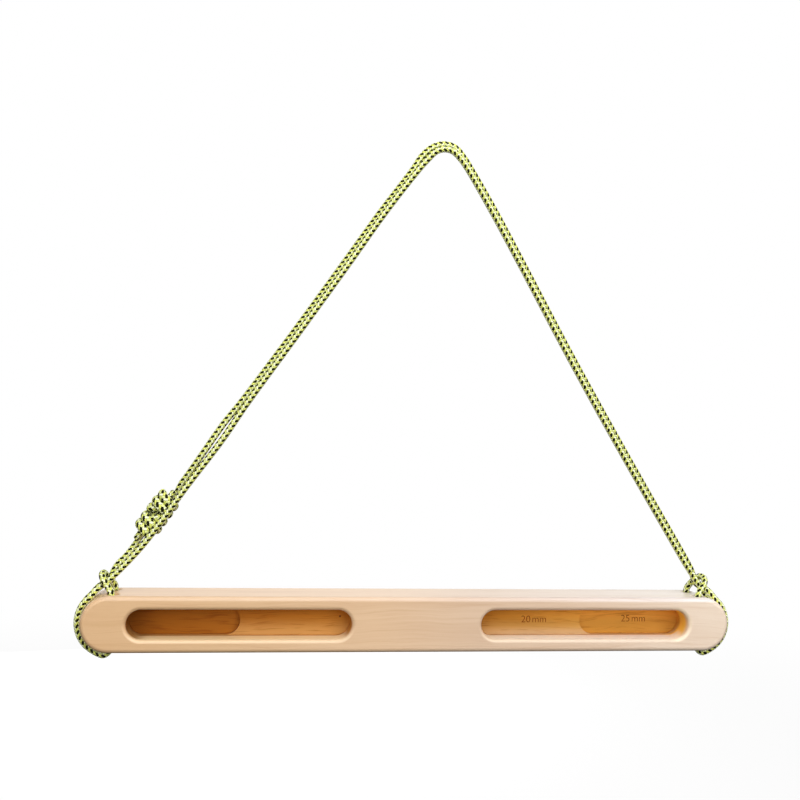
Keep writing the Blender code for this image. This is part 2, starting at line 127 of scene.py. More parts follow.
class Wire:
    """One number travelling through a material, which takes part in sums."""

    def __init__(self, recipe: "Recipe", socket: bpy.types.NodeSocket) -> None:
        """Hold the output socket that the number comes from, and its material."""
        self.recipe = recipe
        self.socket = socket

    def __add__(self, other: "Wire | float") -> "Wire":
        """Sum."""
        return self.recipe.maths("ADD", self, other)

    def __sub__(self, other: "Wire | float") -> "Wire":
        """Difference."""
        return self.recipe.maths("SUBTRACT", self, other)

    def __mul__(self, other: "Wire | float") -> "Wire":
        """Product."""
        return self.recipe.maths("MULTIPLY", self, other)

    def __truediv__(self, other: "Wire | float") -> "Wire":
        """Quotient."""
        return self.recipe.maths("DIVIDE", self, other)

    def __pow__(self, other: "Wire | float") -> "Wire":
        """Power."""
        return self.recipe.maths("POWER", self, other)

    def __mod__(self, other: "Wire | float") -> "Wire":
        """Remainder, never negative."""
        return self.recipe.maths("FLOORED_MODULO", self, other)

    def __radd__(self, other: float) -> "Wire":
        """Sum with the number on the left."""
        return self.recipe.maths("ADD", other, self)

    def __rsub__(self, other: float) -> "Wire":
        """Difference with the number on the left."""
        return self.recipe.maths("SUBTRACT", other, self)

    def __rmul__(self, other: float) -> "Wire":
        """Product with the number on the left."""
        return self.recipe.maths("MULTIPLY", other, self)

    def __abs__(self) -> "Wire":
        """Size without its sign."""
        return self.recipe.maths("ABSOLUTE", self)

    def __lt__(self, other: "Wire | float") -> "Wire":
        """One where this is smaller, else zero."""
        return self.recipe.maths("LESS_THAN", self, other)

    def floor(self) -> "Wire":
        """Whole part."""
        return self.recipe.maths("FLOOR", self)

    def fraction(self) -> "Wire":
        """Part after the whole number."""
        return self.recipe.maths("FRACT", self)

    def root(self) -> "Wire":
        """Square root."""
        return self.recipe.maths("SQRT", self)

    def at_least(self, other: "Wire | float") -> "Wire":
        """Larger of the two."""
        return self.recipe.maths("MAXIMUM", self, other)

    def fade(self, fade: Fade) -> "Wire":
        """Rise smoothly as a fade says.

        Args:
            fade: Where the rise starts and ends, and the share that it reaches.

        Returns:
            The eased share.
        """
        settings = {"interpolation_type": "SMOOTHSTEP"}
        flip = fade.end < fade.start
        ends = {"From Min": min(fade.start, fade.end), "From Max": max(fade.start, fade.end)}
        ends |= {"To Min": float(flip), "To Max": float(not flip)}
        node = self.recipe.node("ShaderNodeMapRange", settings, Value=self, **ends)
        eased = Wire(self.recipe, node.outputs["Result"])
        return eased if fade.share == 1.0 else eased * fade.share


class Recipe:
    """A node material under construction, with its Principled shader."""

    def __init__(self, name: str) -> None:
        """Start an empty recipe.

        Args:
            name: Name of the material.
        """
        self.material = bpy.data.materials.new(name)
        self.material.use_nodes = True
        self.tree = self.material.node_tree
        self.shader = self.tree.nodes["Principled BSDF"]

    def node(self, kind: str, settings: dict | None = None, **inputs: object) -> bpy.types.Node:
        """Add a node, apply its settings, then fill its sockets.

        Args:
            kind: Node type.
            settings: Node properties, set first; a ramp's stops go under "stops".
            **inputs: Socket values or wires, by socket name; _0, _1 ... by number.

        Returns:
            The new node.
        """
        node = self.tree.nodes.new(kind)
        for key, value in (settings or {}).items():
            if key == "stops":
                self._set_stops(node, value)
            else:
                setattr(node, key, value)
        for key, value in inputs.items():
            self.feed(node.inputs[int(key[1:])] if key.startswith("_") else node.inputs[key], value)
        return node

    def _set_stops(self, node: bpy.types.Node, stops: Stops) -> None:
        """Give a colour ramp its stops.

        Args:
            node: Colour ramp node.
            stops: Pairs of position and colour.
        """
        elements = node.color_ramp.elements
        while len(elements) < len(stops):
            elements.new(0.5)
        for element, (position, colour) in zip(elements, stops):
            element.position = position
            element.color = (*colour, 1.0)

    def feed(self, socket: bpy.types.NodeSocket, value: object) -> None:
        """Link a wire or socket, or write a plain value.

        Args:
            socket: Input socket to feed.
            value: Wire, output socket, colour, vector or number.
        """
        if isinstance(value, Wire):
            self.tree.links.new(value.socket, socket)
        elif isinstance(value, bpy.types.NodeSocket):
            self.tree.links.new(value, socket)
        elif socket.type == "RGBA" and len(value) == 3:
            socket.default_value = (*value, 1.0)
        else:
            socket.default_value = value

    def shade(self, values: dict[str, object]) -> None:
        """Feed the shader's own sockets, by their names."""
        for name, value in values.items():
            self.feed(self.shader.inputs[name], value)

    def maths(self, operation: str, *values: "Wire | float") -> Wire:
        """One Math node.

        Args:
            operation: Operation of the node.
            *values: Its inputs in order.

        Returns:
            The result.
        """
        inputs = {f"_{i}": value for i, value in enumerate(values)}
        node = self.node("ShaderNodeMath", {"operation": operation}, **inputs)
        return Wire(self, node.outputs[0])

    def mix(self, share: "Wire | float", first: object, second: object,
            blend: str = "MIX") -> bpy.types.NodeSocket:
        """Mix two colours, by the node's colour sockets, which are 6 and 7, and out at 2.

        Args:
            share: Share of the second colour.
            first: First colour or its socket.
            second: Second colour or its socket.
            blend: How the colours are blended.

        Returns:
            Output socket with the colour.
        """
        settings = {"data_type": "RGBA", "blend_type": blend}
        node = self.node("ShaderNodeMix", settings, _0=share, _6=first, _7=second)
        return node.outputs[2]

    def stops(self, share: Wire, stops: Stops) -> bpy.types.NodeSocket:
        """Colour that runs through the stops as a share goes from nought to one."""
        return self.node("ShaderNodeValToRGB", {"stops": stops}, Fac=share).outputs["Color"]

    def place(self) -> tuple[Wire, Wire, Wire]:
        """Object coordinates in metres.

        Returns:
            The X, Y and Z wires.
        """
        place = self.node("ShaderNodeTexCoord").outputs["Object"]
        parts = self.node("ShaderNodeSeparateXYZ", Vector=place)
        return tuple(Wire(self, parts.outputs[i]) for i in range(3))

    def noise(self, grain: Grain, lift: "Wire | float" = 0.0) -> Wire:
        """Stretched noise over the object coordinates.

        Args:
            grain: Its waves and octaves.
            lift: Metres added to Z, which make straight lines wavy.

        Returns:
            Noise round one half.
        """
        x, y, z = self.place()
        place = self.node("ShaderNodeCombineXYZ", X=x, Y=y, Z=z + lift)
        mapped = self.node("ShaderNodeMapping", Vector=place.outputs[0], Scale=grain.waves)
        settings = {"noise_dimensions": "3D"}
        node = self.node("ShaderNodeTexNoise", settings, Vector=mapped.outputs[0], Scale=1.0,
                         Detail=grain.detail, Roughness=grain.roughness)
        return Wire(self, node.outputs["Fac"])

    def bump(self, height: Wire, strength: float, distance: float) -> None:
        """Raise the surface's shading by a height.

        Args:
            height: Height from nought to one.
            strength: Share of the relief that shows.
            distance: Depth of the relief in metres.
        """
        node = self.node("ShaderNodeBump", Strength=strength, Distance=distance, Height=height)
        self.shade({"Normal": node.outputs["Normal"]})


# Finishes


@dataclass(frozen=True)
class Braid:
    """Sheath of sixteen yarns, eight each way, over two and under two.

    The cord's UV map gives the turn round it and the length along it in metres.
    Both are turned into counts of yarns, across the right-hand and the left-hand ones.
    """

    yarns: int = 8
    over: float = 2.0
    lead: float = 0.0176
    turn: float = 0.172
    black: Colour = (0.010, 0.010, 0.002)
    yellow: Colour = (0.76, 0.80, 0.17)
    pale: Colour = (0.93, 0.97, 0.64)
    lime: Colour = (0.76, 0.81, 0.32)
    # Painted crease shade: multiplied into the low places between the floats.
    painted_crease_shade: Colour = (0.17, 0.18, 0.02)
    painted_crease_shade_depth: Fade = Fade(0.70, 0.05, 0.85)
    fleck_width: float = 0.66
    fleck_length: float = 1.10
    fleck_corner: float = 3.0
    fleck_edge: Fade = Fade(1.15, 0.80)
    side_curve: float = 2.0
    end_curve: float = 3.0
    relief: float = 0.00040
    relief_share: float = 0.8
    roughness: float = 0.55
    specular: float = 0.06

    def material(self) -> bpy.types.Material:
        """Build the sheath's material.

        Returns:
            The finished material.
        """
        recipe = Recipe("cord_sheath")
        parts = recipe.node("ShaderNodeSeparateXYZ", Vector=recipe.node("ShaderNodeUVMap").outputs[0])
        round_it, along = Wire(recipe, parts.outputs[0]), Wire(recipe, parts.outputs[1])
        across = (round_it + self.turn) * float(self.yarns)
        climb = along * (self.yarns / self.lead)
        right, left = across - climb, across + climb
        right_yarn, left_yarn = right.floor(), left.floor()
        repeat = 2 * self.over
        right_on_top = ((right_yarn + left_yarn) % repeat) < self.over
        right_float = ((right_yarn + left) % repeat) / self.over
        left_float = ((left_yarn + right) % repeat) / self.over - 1.0
        right_form = self._dome(right.fraction(), right_float)
        left_form = self._dome(left.fraction(), left_float)
        height = right_form * right_on_top + left_form * (1.0 - right_on_top)
        left_colour = recipe.mix(left_yarn % 2.0, self.pale, self.lime)
        colour = recipe.mix(right_on_top, left_colour, self.yellow)
        # Painted crease shade where the yarns dip between their floats.
        colour = recipe.mix(height.fade(self.painted_crease_shade_depth), colour, self.painted_crease_shade, "MULTIPLY")
        colour = recipe.mix(self._fleck(right, left), colour, self.black)
        recipe.shade({"Base Color": colour, "Roughness": self.roughness,
                      "Specular IOR Level": self.specular})
        recipe.bump(height, self.relief_share, self.relief)
        return recipe.material

    def _fleck(self, right: Wire, left: Wire) -> Wire:
        """Where a black yarn lies on top, with its floats swollen and round.

        Args:
            right: Yarn count across the right-hand yarns, of which every other is black.
            left: Yarn count across the left-hand yarns.

        Returns:
            The share of black.
        """
        yarn = ((right + 0.5) / 2.0).floor() * 2.0
        across = abs(right - yarn - 0.5) / self.fleck_width
        along_it = abs((yarn + left + 1.0) % (2 * self.over) - self.over) / self.fleck_length
        return (across ** self.fleck_corner + along_it ** self.fleck_corner).fade(self.fleck_edge)

    def _dome(self, across: Wire, lengthways: Wire) -> Wire:
        """Height of a yarn's float.

        Args:
            across: Share across the yarn.
            lengthways: Share along the float.

        Returns:
            Height from nought to one.
        """
        side = 1.0 - (across * 2.0 - 1.0) ** self.side_curve
        end = 1.0 - abs(lengthways * 2.0 - 1.0) ** self.end_curve
        return (side.at_least(0.0) * end.at_least(0.0)).root()


@dataclass(frozen=True)
class Spot:
    """A point of the board: its place from the centre, and the wood's pattern there."""

    x: Wire
    y: Wire
    z: Wire
    bands: Wire
    lines: Wire
    ripples: Wire
    flecks: Wire


@dataclass(frozen=True)
class PocketShares:
    """Where a pocket is amber, partly painted shade, where painted light brightens its lower lip and
    gilds its end.
    """

    inside: Wire
    lip: Wire
    lit_end: Wire
    end_rim: Wire


@dataclass(frozen=True)
class Beech:
    """Pale oiled beech, grain along X, amber inside the pockets, with painted light and shade.

    The faces and the pockets each have colours at shares of the board's length. The
    fades are over places from the board's centre or over noise. Those whose names start
    with off or below are over the distance off a pocket's outline or off a broad face,
    and lower_wall is over half heights of a pocket.
    """

    length: float = 0.500
    # Face colours along the board: partly the wood's own tone, partly painted light that makes the right
    # end paler.
    faces: Stops = (
        (0.03, (0.700, 0.450, 0.240)), (0.20, (0.705, 0.465, 0.258)), (0.44, (0.735, 0.510, 0.318)),
        (0.59, (0.695, 0.505, 0.352)), (0.80, (0.736, 0.560, 0.418)), (0.97, (0.840, 0.696, 0.560)),
    )
    # Pocket colours along the board: partly the wood's warmer tone, partly painted shade of the recesses,
    # darkest at the left end.
    pockets: Stops = (
        (0.10, (0.388, 0.120, 0.008)), (0.24, (0.500, 0.171, 0.017)), (0.40, (0.600, 0.232, 0.027)),
        (0.62, (0.588, 0.236, 0.025)), (0.78, (0.920, 0.440, 0.070)), (0.92, (0.880, 0.412, 0.067)),
    )
    vein: Colour = (0.800, 0.700, 0.600)
    deep_vein: Colour = (0.560, 0.400, 0.220)
    # Painted light on the pockets' lower walls and lips, at the left and the right end.
    painted_lip_light_left: Colour = (1.000, 0.780, 0.430)
    painted_lip_light_right: Colour = (1.000, 0.960, 0.880)
    # Painted tone on the lip's outer rounding: darker than the face towards the right, painted shade that
    # holds back its highlight.
    painted_edge_tone_left: Colour = (0.730, 0.520, 0.300)
    painted_edge_tone_right: Colour = (0.660, 0.530, 0.400)
    # Painted sheen: the top face paler and bluer towards the right.
    painted_top_sheen: Colour = (0.970, 1.060, 1.180)
    # Painted sheen on the front top rounding: less red, more blue, so that its highlight reads whiter.
    painted_rim_sheen: Colour = (0.930, 0.960, 1.060)
    shadow: Colour = (0.500, 0.500, 0.500)
    # Painted shade for the far left end of the left pockets.
    corner: Colour = (0.300, 0.220, 0.100)
    # Painted light low on the shallow pocket floors, for light thrown back from the lower wall.
    glow: Colour = (0.700, 0.430, 0.160)
    # Paler, duller foot of the right shallow floors, which tempers the painted light there.
    floor_rim: Colour = (0.560, 0.390, 0.250)
    # Painted light on the right end wall of the right pockets, and on its rim.
    painted_end_light: Colour = (1.000, 0.600, 0.090)
    painted_end_light_rim: Colour = (1.000, 0.820, 0.580)
    speck: Colour = (0.120, 0.045, 0.010)
    specks: tuple[tuple[float, float], ...] = ((-0.0575, 0.0030),)
    sway: Grain = Grain((11.0, 25.0, 30.0), 2.0)
    sway_height: float = 0.014
    ripple_sway: float = 1.6
    bands: Grain = Grain((3.0, 60.0, 130.0), 4.0, 0.55)
    lines: Grain = Grain((17.0, 500.0, 820.0), 3.0, 0.62)
    ripples: Grain = Grain((42.0, 480.0, 640.0), 2.0, 0.6)
    flecks: Grain = Grain((300.0, 2600.0, 2600.0), 1.0)
    face_bands: Fade = Fade(0.40, 0.70, 0.38)
    face_lines: Fade = Fade(0.48, 0.74, 0.42)
    face_flecks: Fade = Fade(0.62, 0.76, 0.14)
    pocket_lines: Fade = Fade(0.50, 0.76, 0.34)
    pocket_ripples: Fade = Fade(0.53, 0.70, 0.50)
    face_rightward: Fade = Fade(-0.15, 0.19)
    face_top: Fade = Fade(0.0170, 0.0192)
    top_sheen_rightward: Fade = Fade(-0.05, 0.20)
    top_front: Fade = Fade(-0.0175, -0.0190)
    lip_crest: Fade = Fade(0.0188, 0.0202)
    pocket_front: Fade = Fade(0.0025, -0.0015)
    pocket_rightward: Fade = Fade(0.0, 0.1)
    pocket_lower: Fade = Fade(0.0060, -0.0040)
    shadow_left: float = 0.30
    shadow_right: float = 0.40
    shadow_right_front: float = 0.04
    floor_light_height: Fade = Fade(0.0040, -0.0105, 0.45)
    floor_rim_height: Fade = Fade(-0.0040, -0.0112, 0.55)
    left_end_shade: Fade = Fade(-0.190, -0.2165, 0.42)
    speck_edge: Fade = Fade(0.0011, 0.0004)
    off_amber: Fade = Fade(0.0035, 0.0012)
    off_wall: Fade = Fade(-0.0009, -0.0002)
    off_lip: Fade = Fade(0.0030, 0.0014, 0.9)
    below_rim: Fade = Fade(-0.0012, -0.0060)
    below_end_rim: Fade = Fade(-0.010, -0.001)
    lower_wall: Fade = Fade(-0.50, -0.99)
    pocket_mouth: Fade = Fade(0.0040, 0.0080)
    right_end: Fade = Fade(0.200, 0.210)
    pale_lip: Fade = Fade(-0.213, -0.199)
    lit_front: Fade = Fade(-0.0010, -0.0060)
    end_rim_share: float = 0.5
    roughness: float = 0.50
    roughness_play: float = 0.12
    coat_roughness: float = 0.35
    specular: float = 0.08
    line_relief: float = 0.7
    fleck_relief: float = 0.3
    relief: float = 0.0002
    relief_share: float = 0.12

    def material(self, pockets: "PocketSizes", half_depth: float) -> bpy.types.Material:
        """Build the wood.

        Args:
            pockets: Sizes of the pockets, which are darker inside.
            half_depth: Half the board's depth.

        Returns:
            The finished material.
        """
        recipe = Recipe("beech_wood")
        spot = self._spot(recipe)
        shares = self._pocket_shares(spot, pockets, half_depth)
        face, amber = self._face_colour(spot, shares), self._pocket_colour(spot, shares)
        smoothest = self.roughness - self.roughness_play / 2
        recipe.shade({"Base Color": recipe.mix(shares.inside, face, amber),
                      "Roughness": spot.lines * self.roughness_play + smoothest,
                      "Coat Weight": 1.0 - shares.inside,
                      "Coat Roughness": self.coat_roughness,
                      "Specular IOR Level": self.specular})
        height = spot.lines * self.line_relief + spot.flecks * self.fleck_relief
        recipe.bump(height, self.relief_share, self.relief)
        return recipe.material

    def _spot(self, recipe: Recipe) -> Spot:
        """Find the place on the board and lay out the wood's pattern.

        Args:
            recipe: Material under construction.

        Returns:
            The place and its pattern.
        """
        x, y, z = recipe.place()
        sway = (recipe.noise(self.sway) - 0.5) * self.sway_height
        return Spot(x=x + HANG_POINT.x, y=y, z=z + HANG_POINT.z,
                    bands=recipe.noise(self.bands, sway), lines=recipe.noise(self.lines, sway),
                    ripples=recipe.noise(self.ripples, sway * self.ripple_sway),
                    flecks=recipe.noise(self.flecks))

    def _face_colour(self, spot: Spot, shares: PocketShares) -> bpy.types.NodeSocket:
        """Colour of the outside, up to the lips of the pockets, with painted light, sheen and shade.

        Args:
            spot: Place and pattern.
            shares: Where the pockets' colours lie.

        Returns:
            Output socket with the colour.
        """
        recipe, x, y = spot.x.recipe, spot.x, spot.y
        face = recipe.stops(x / self.length + 0.5, self.faces)
        grain = spot.bands.fade(self.face_bands) + spot.lines.fade(self.face_lines)
        face = recipe.mix(grain, face, self.vein, "MULTIPLY")
        face = recipe.mix(spot.flecks.fade(self.face_flecks), face, self.vein, "MULTIPLY")
        top = spot.z.fade(self.face_top)
        # Painted sheen on the top face, growing towards the right.
        face = recipe.mix(top * x.fade(self.top_sheen_rightward), face, self.painted_top_sheen, "MULTIPLY")
        # Painted sheen on the front top rounding.
        face = recipe.mix(top * y.fade(self.top_front), face, self.painted_rim_sheen, "MULTIPLY")
        rightward = x.fade(self.face_rightward)
        # Painted light on the lower lip, paler towards the right.
        painted_lip_light = recipe.mix(rightward, self.painted_lip_light_left, self.painted_lip_light_right)
        # Painted shade on the lip's outer rounding, against its highlight.
        painted_edge_tone = recipe.mix(rightward, self.painted_edge_tone_left, self.painted_edge_tone_right)
        lip = recipe.mix(abs(y).fade(self.lip_crest), painted_lip_light, painted_edge_tone)
        # Painted light on the rim of the right pockets' end wall.
        return recipe.mix(shares.end_rim, recipe.mix(shares.lip, face, lip), self.painted_end_light_rim)

    def _pocket_colour(self, spot: Spot, shares: PocketShares) -> bpy.types.NodeSocket:
        """Pocket amber, partly painted shade, with painted shadow and light and a pale rim at the floor's
        foot.

        Args:
            spot: Place and pattern.
            shares: Where the pockets' colours lie.

        Returns:
            Output socket with the colour.
        """
        recipe, x, z = spot.x.recipe, spot.x, spot.z
        amber = recipe.stops(x / self.length + 0.5, self.pockets)
        front, rightward = spot.y.fade(self.pocket_front), x.fade(self.pocket_rightward)
        shadow = rightward * (front * self.shadow_right_front + self.shadow_right) + self.shadow_left
        amber = recipe.mix(z.fade(self.pocket_lower) * shadow, amber, self.shadow, "MULTIPLY")
        # Painted light low on the shallow floors.
        amber = recipe.mix(z.fade(self.floor_light_height) * front, amber, self.glow)
        # Tempers the painted floor light at the foot of the right shallow floors.
        amber = recipe.mix(z.fade(self.floor_rim_height) * front * rightward, amber, self.floor_rim)
        grain = spot.lines.fade(self.pocket_lines) + spot.ripples.fade(self.pocket_ripples)
        amber = recipe.mix(grain, amber, self.deep_vein, "MULTIPLY")
        # Painted shade darkening the left end of the left pockets.
        amber = recipe.mix(x.fade(self.left_end_shade), amber, self.corner, "MULTIPLY")
        # Painted light on the right end wall.
        amber = recipe.mix(shares.lit_end, amber, self.painted_end_light)
        for speck_x, speck_z in self.specks:
            off = ((x - speck_x) ** 2.0 + (z - speck_z) ** 2.0).root()
            amber = recipe.mix(off.fade(self.speck_edge), amber, self.speck)
        return amber

    def _pocket_shares(self, spot: Spot, pockets: "PocketSizes", half_depth: float) -> PocketShares:
        """Work out where the pockets' colours lie.

        Args:
            spot: Place and pattern.
            pockets: Sizes of the pockets.
            half_depth: Half the board's depth.

        Returns:
            The shares.
        """
        x, y, z, depth = spot.x, spot.y, spot.z, abs(spot.y)
        half = pockets.height / 2
        near, far = pockets.inner_end + half, pockets.outer_end - half
        along = (abs(abs(x) - (near + far) / 2) - (far - near) / 2).at_least(0.0)
        off = (along * along + z * z).root()
        within = off.fade(self.off_amber.placed(half))
        wall = off.fade(self.off_wall.placed(half))
        lower = z.fade(self.lower_wall.placed(scale=half)) * wall * depth.fade(self.pocket_mouth)
        end = wall * x.fade(self.right_end)
        pale_end = end * depth.fade(self.below_end_rim.placed(half_depth))
        # pale keeps the amber off the lower wall and the end wall's mouth, where painted light goes
        # instead.
        pale = (lower * x.fade(self.pale_lip)).at_least(pale_end)
        sunk = within * depth.fade(self.below_rim.placed(half_depth))
        # lit_end and end_rim carry painted light on the right end wall and its rim.
        lit_end = end * y.fade(self.lit_front)
        # lip carries the painted light of the lower wall and its rounding.
        return PocketShares(inside=sunk * (1.0 - pale), lip=lower * off.fade(self.off_lip.placed(half)),
                            lit_end=lit_end, end_rim=lit_end * within * self.end_rim_share)


@dataclass(frozen=True)
class Scorch:
    """Brown of the burnt depth marks."""

    colour: Colour = (0.155, 0.030, 0.002)
    streak_brightness: float = 2.0
    streaks: Grain = Grain((40.0, 900.0, 900.0), 2.0)
    streak_fade: Fade = Fade(0.3, 0.7, 0.4)
    roughness: float = 0.7
    specular: float = 0.1

    def material(self) -> bpy.types.Material:
        """Build the burnt wood.

        Returns:
            The finished material.
        """
        recipe = Recipe("burnt_mark")
        streak = tuple(self.streak_brightness * c for c in self.colour)
        share = recipe.noise(self.streaks).fade(self.streak_fade)
        recipe.shade({"Base Color": recipe.mix(share, self.colour, streak),
                      "Roughness": self.roughness, "Specular IOR Level": self.specular})
        return recipe.material


@dataclass(frozen=True)
class PaleGround:
    """White studio floor that keeps soft shadows and fades into the surroundings."""

    seen: Colour = (0.95, 0.95, 0.95)
    bounced: Colour = (0.05, 0.05, 0.05)
    light: Colour = (1.0, 1.0, 1.0)
    glow_near: float = 0.80
    fade_out: Fade = Fade(0.5, 2.0)
    roughness: float = 0.9

    def material(self) -> bpy.types.Material:
        """Build the floor's material.

        Returns:
            The finished material.
        """
        recipe = Recipe("pale_ground")
        path = recipe.node("ShaderNodeLightPath")
        seen = Wire(recipe, path.outputs["Is Camera Ray"])
        recipe.shade({"Base Color": recipe.mix(seen, self.bounced, self.seen),
                      "Roughness": self.roughness, "Specular IOR Level": 0.0})
        x, y, _ = recipe.place()
        far = (x * x + y * y).root().fade(self.fade_out)
        glow = far * (1.0 - self.glow_near) + self.glow_near
        light = recipe.node("ShaderNodeEmission", Color=self.light, Strength=1.0)
        mixed = recipe.node("ShaderNodeMixShader", _0=seen * glow,
                            _1=recipe.shader.outputs[0], _2=light.outputs[0])
        output = recipe.tree.nodes["Material Output"]
        recipe.feed(output.inputs["Surface"], mixed.outputs[0])
        return recipe.material


# Workbench: what a hand would do in edit mode


class Workbench:
    """Small modelling steps that use Blender's operators.

    Points closer than SAME_PLACE are one. What a cut leaves over is narrower than
    CUT_GAP and CUT_SLIVER, and faces that meet below FLAT_ANGLE are one flat face.
    """

    SAME_PLACE = 1e-6
    LEAST_LENGTH = 1e-4
    CUT_GAP = 4e-6
    CUT_SLIVER = 2e-6
    FLAT_ANGLE = math.radians(0.05)
    ROUND_PROFILE = 0.5

    @staticmethod
    def take(piece: bpy.types.Object) -> None:
        """Select one object alone and make it active."""
        bpy.ops.object.select_all(action="DESELECT")
        piece.select_set(True)
        bpy.context.view_layer.objects.active = piece

    @classmethod
    @contextmanager
    def editing(cls, piece: bpy.types.Object) -> Iterator[None]:
        """Hold an object in edit mode, with everything selected at first.

        Args:
            piece: Object to edit.
        """
        cls.take(piece)
        bpy.ops.object.mode_set(mode="EDIT")
        bpy.ops.mesh.select_all(action="SELECT")
        yield
        bpy.ops.object.mode_set(mode="OBJECT")

    @staticmethod
    def pick_edges(piece: bpy.types.Object, test: Callable[[Vector, Vector], bool]) -> int:
        """Select edges in edit mode by their two ends.

        Args:
            piece: Object in edit mode.
            test: Takes the two ends and says whether the edge is picked.

        Returns:
            How many edges are picked.
        """
        bpy.ops.mesh.select_mode(type="EDGE")
        bpy.ops.mesh.select_all(action="DESELECT")
        form = bmesh.from_edit_mesh(piece.data)
        count = 0
        for edge in form.edges:
            if test(edge.verts[0].co, edge.verts[1].co):
                edge.select_set(True)
                count += 1
        form.select_flush_mode()
        bmesh.update_edit_mesh(piece.data)
        return count

    @classmethod
    def round_over(cls, size: float, segments: int) -> None:
        """Give the selected edges a round bevel."""
        bpy.ops.mesh.bevel(offset=size, segments=segments, profile=cls.ROUND_PROFILE, clamp_overlap=False)

    @staticmethod
    def mend(gap: float) -> None:
        """Merge points closer than a gap, select all and turn the faces outwards."""
        bpy.ops.mesh.select_all(action="SELECT")
        bpy.ops.mesh.remove_doubles(threshold=gap)
        bpy.ops.mesh.normals_make_consistent(inside=False)

    @staticmethod
    def block(name: str, low: Point, high: Point) -> bpy.types.Object:
        """Add a plain block between two corners.

        Args:
            name: Name of the object.
            low: Lowest corner.
            high: Highest corner.

        Returns:
            The block, with its place in its mesh.
        """
        bpy.ops.object.select_all(action="DESELECT")
        middle = [(a + b) / 2 for a, b in zip(low, high)]
        size = [b - a for a, b in zip(low, high)]
        bpy.ops.mesh.primitive_cube_add(size=1.0, location=middle, scale=size)
        piece = bpy.context.object
        piece.name = name
        bpy.ops.object.transform_apply(location=True, rotation=True, scale=True)
        return piece

    @classmethod
    def round_ends(cls, piece: bpy.types.Object, radius: float, segments: int) -> None:
        """Round the block's two ends in the X-Z plane into a stadium.

        Args:
            piece: Block whose height is twice the radius.
            radius: Radius of the ends.
            segments: Facets of a quarter turn.
        """
        xs = [v.co.x for v in piece.data.vertices]
        ends = (min(xs), max(xs))

        def at_end(a: Vector, b: Vector) -> bool:
            """Whether an edge runs from front to back at an end."""
            straight = abs(a.y - b.y) > cls.LEAST_LENGTH and abs(a.x - b.x) < cls.SAME_PLACE
            return straight and any(abs(a.x - end) < cls.SAME_PLACE for end in ends)

        with cls.editing(piece):
            cls.pick_edges(piece, at_end)
            cls.round_over(radius, segments)
            cls.mend(2 * cls.SAME_PLACE)

    @classmethod
    def cut(cls, piece: bpy.types.Object, cutter: bpy.types.Object) -> None:
        """Cut one shape out of another and put the cutter away.

        Args:
            piece: Object that loses material.
            cutter: Shape of what is lost.
        """
        cls.take(piece)
        modifier = piece.modifiers.new("cut", "BOOLEAN")
        modifier.operation = "DIFFERENCE"
        modifier.solver = "EXACT"
        modifier.object = cutter
        bpy.ops.object.modifier_apply(modifier=modifier.name)
        bpy.data.objects.remove(cutter, do_unlink=True)

    @classmethod
    def clean(cls, piece: bpy.types.Object) -> None:
        """Merge doubled points, drop faces without area and join flat neighbours.

        Args:
            piece: Mesh that was cut.
        """
        with cls.editing(piece):
            bpy.ops.mesh.remove_doubles(threshold=cls.CUT_GAP)
            bpy.ops.mesh.dissolve_degenerate(threshold=cls.CUT_SLIVER)
            bpy.ops.mesh.dissolve_limited(angle_limit=cls.FLAT_ANGLE)

    @classmethod
    def finish(cls, piece: bpy.types.Object, angle: float) -> None:
        """Shade smooth below an angle and weigh the normals by area.

        Args:
            piece: Finished mesh.
            angle: Edges steeper than this stay sharp.
        """
        cls.take(piece)
        bpy.ops.object.shade_smooth_by_angle(angle=angle)
        modifier = piece.modifiers.new("even", "WEIGHTED_NORMAL")
        modifier.keep_sharp = True
        bpy.ops.object.modifier_apply(modifier=modifier.name)

    @staticmethod
    def dress(piece: bpy.types.Object, material: bpy.types.Material) -> None:
        """Give a piece one material."""
        piece.data.materials.clear()
        piece.data.materials.append(material)

    @staticmethod
    def hang(piece: bpy.types.Object) -> None:
        """Move a mesh from the board's centre to its place below the hang point."""
        piece.data.transform(Matrix.Translation(-HANG_POINT))


# Board


@dataclass(frozen=True)
class PocketSizes:
    """Sizes that the four finger pockets share."""

    inner_end: float = 0.050
    outer_end: float = 0.217
    height: float = 0.022
    mouth_roundover: float = 0.003
    floor_depth: float = 0.020
    step_depth: float = 0.025
    web: float = 0.009
    cutter_reach: float = 0.004


@dataclass(frozen=True)
class HoleSizes:
    """Sizes of the upright cord holes."""

    diameter: float = 0.0065
    inset: float = 0.022
    spacing: float = 0.022
    mouth_roundover: float = 0.0035
    cutter_reach: float = 0.001


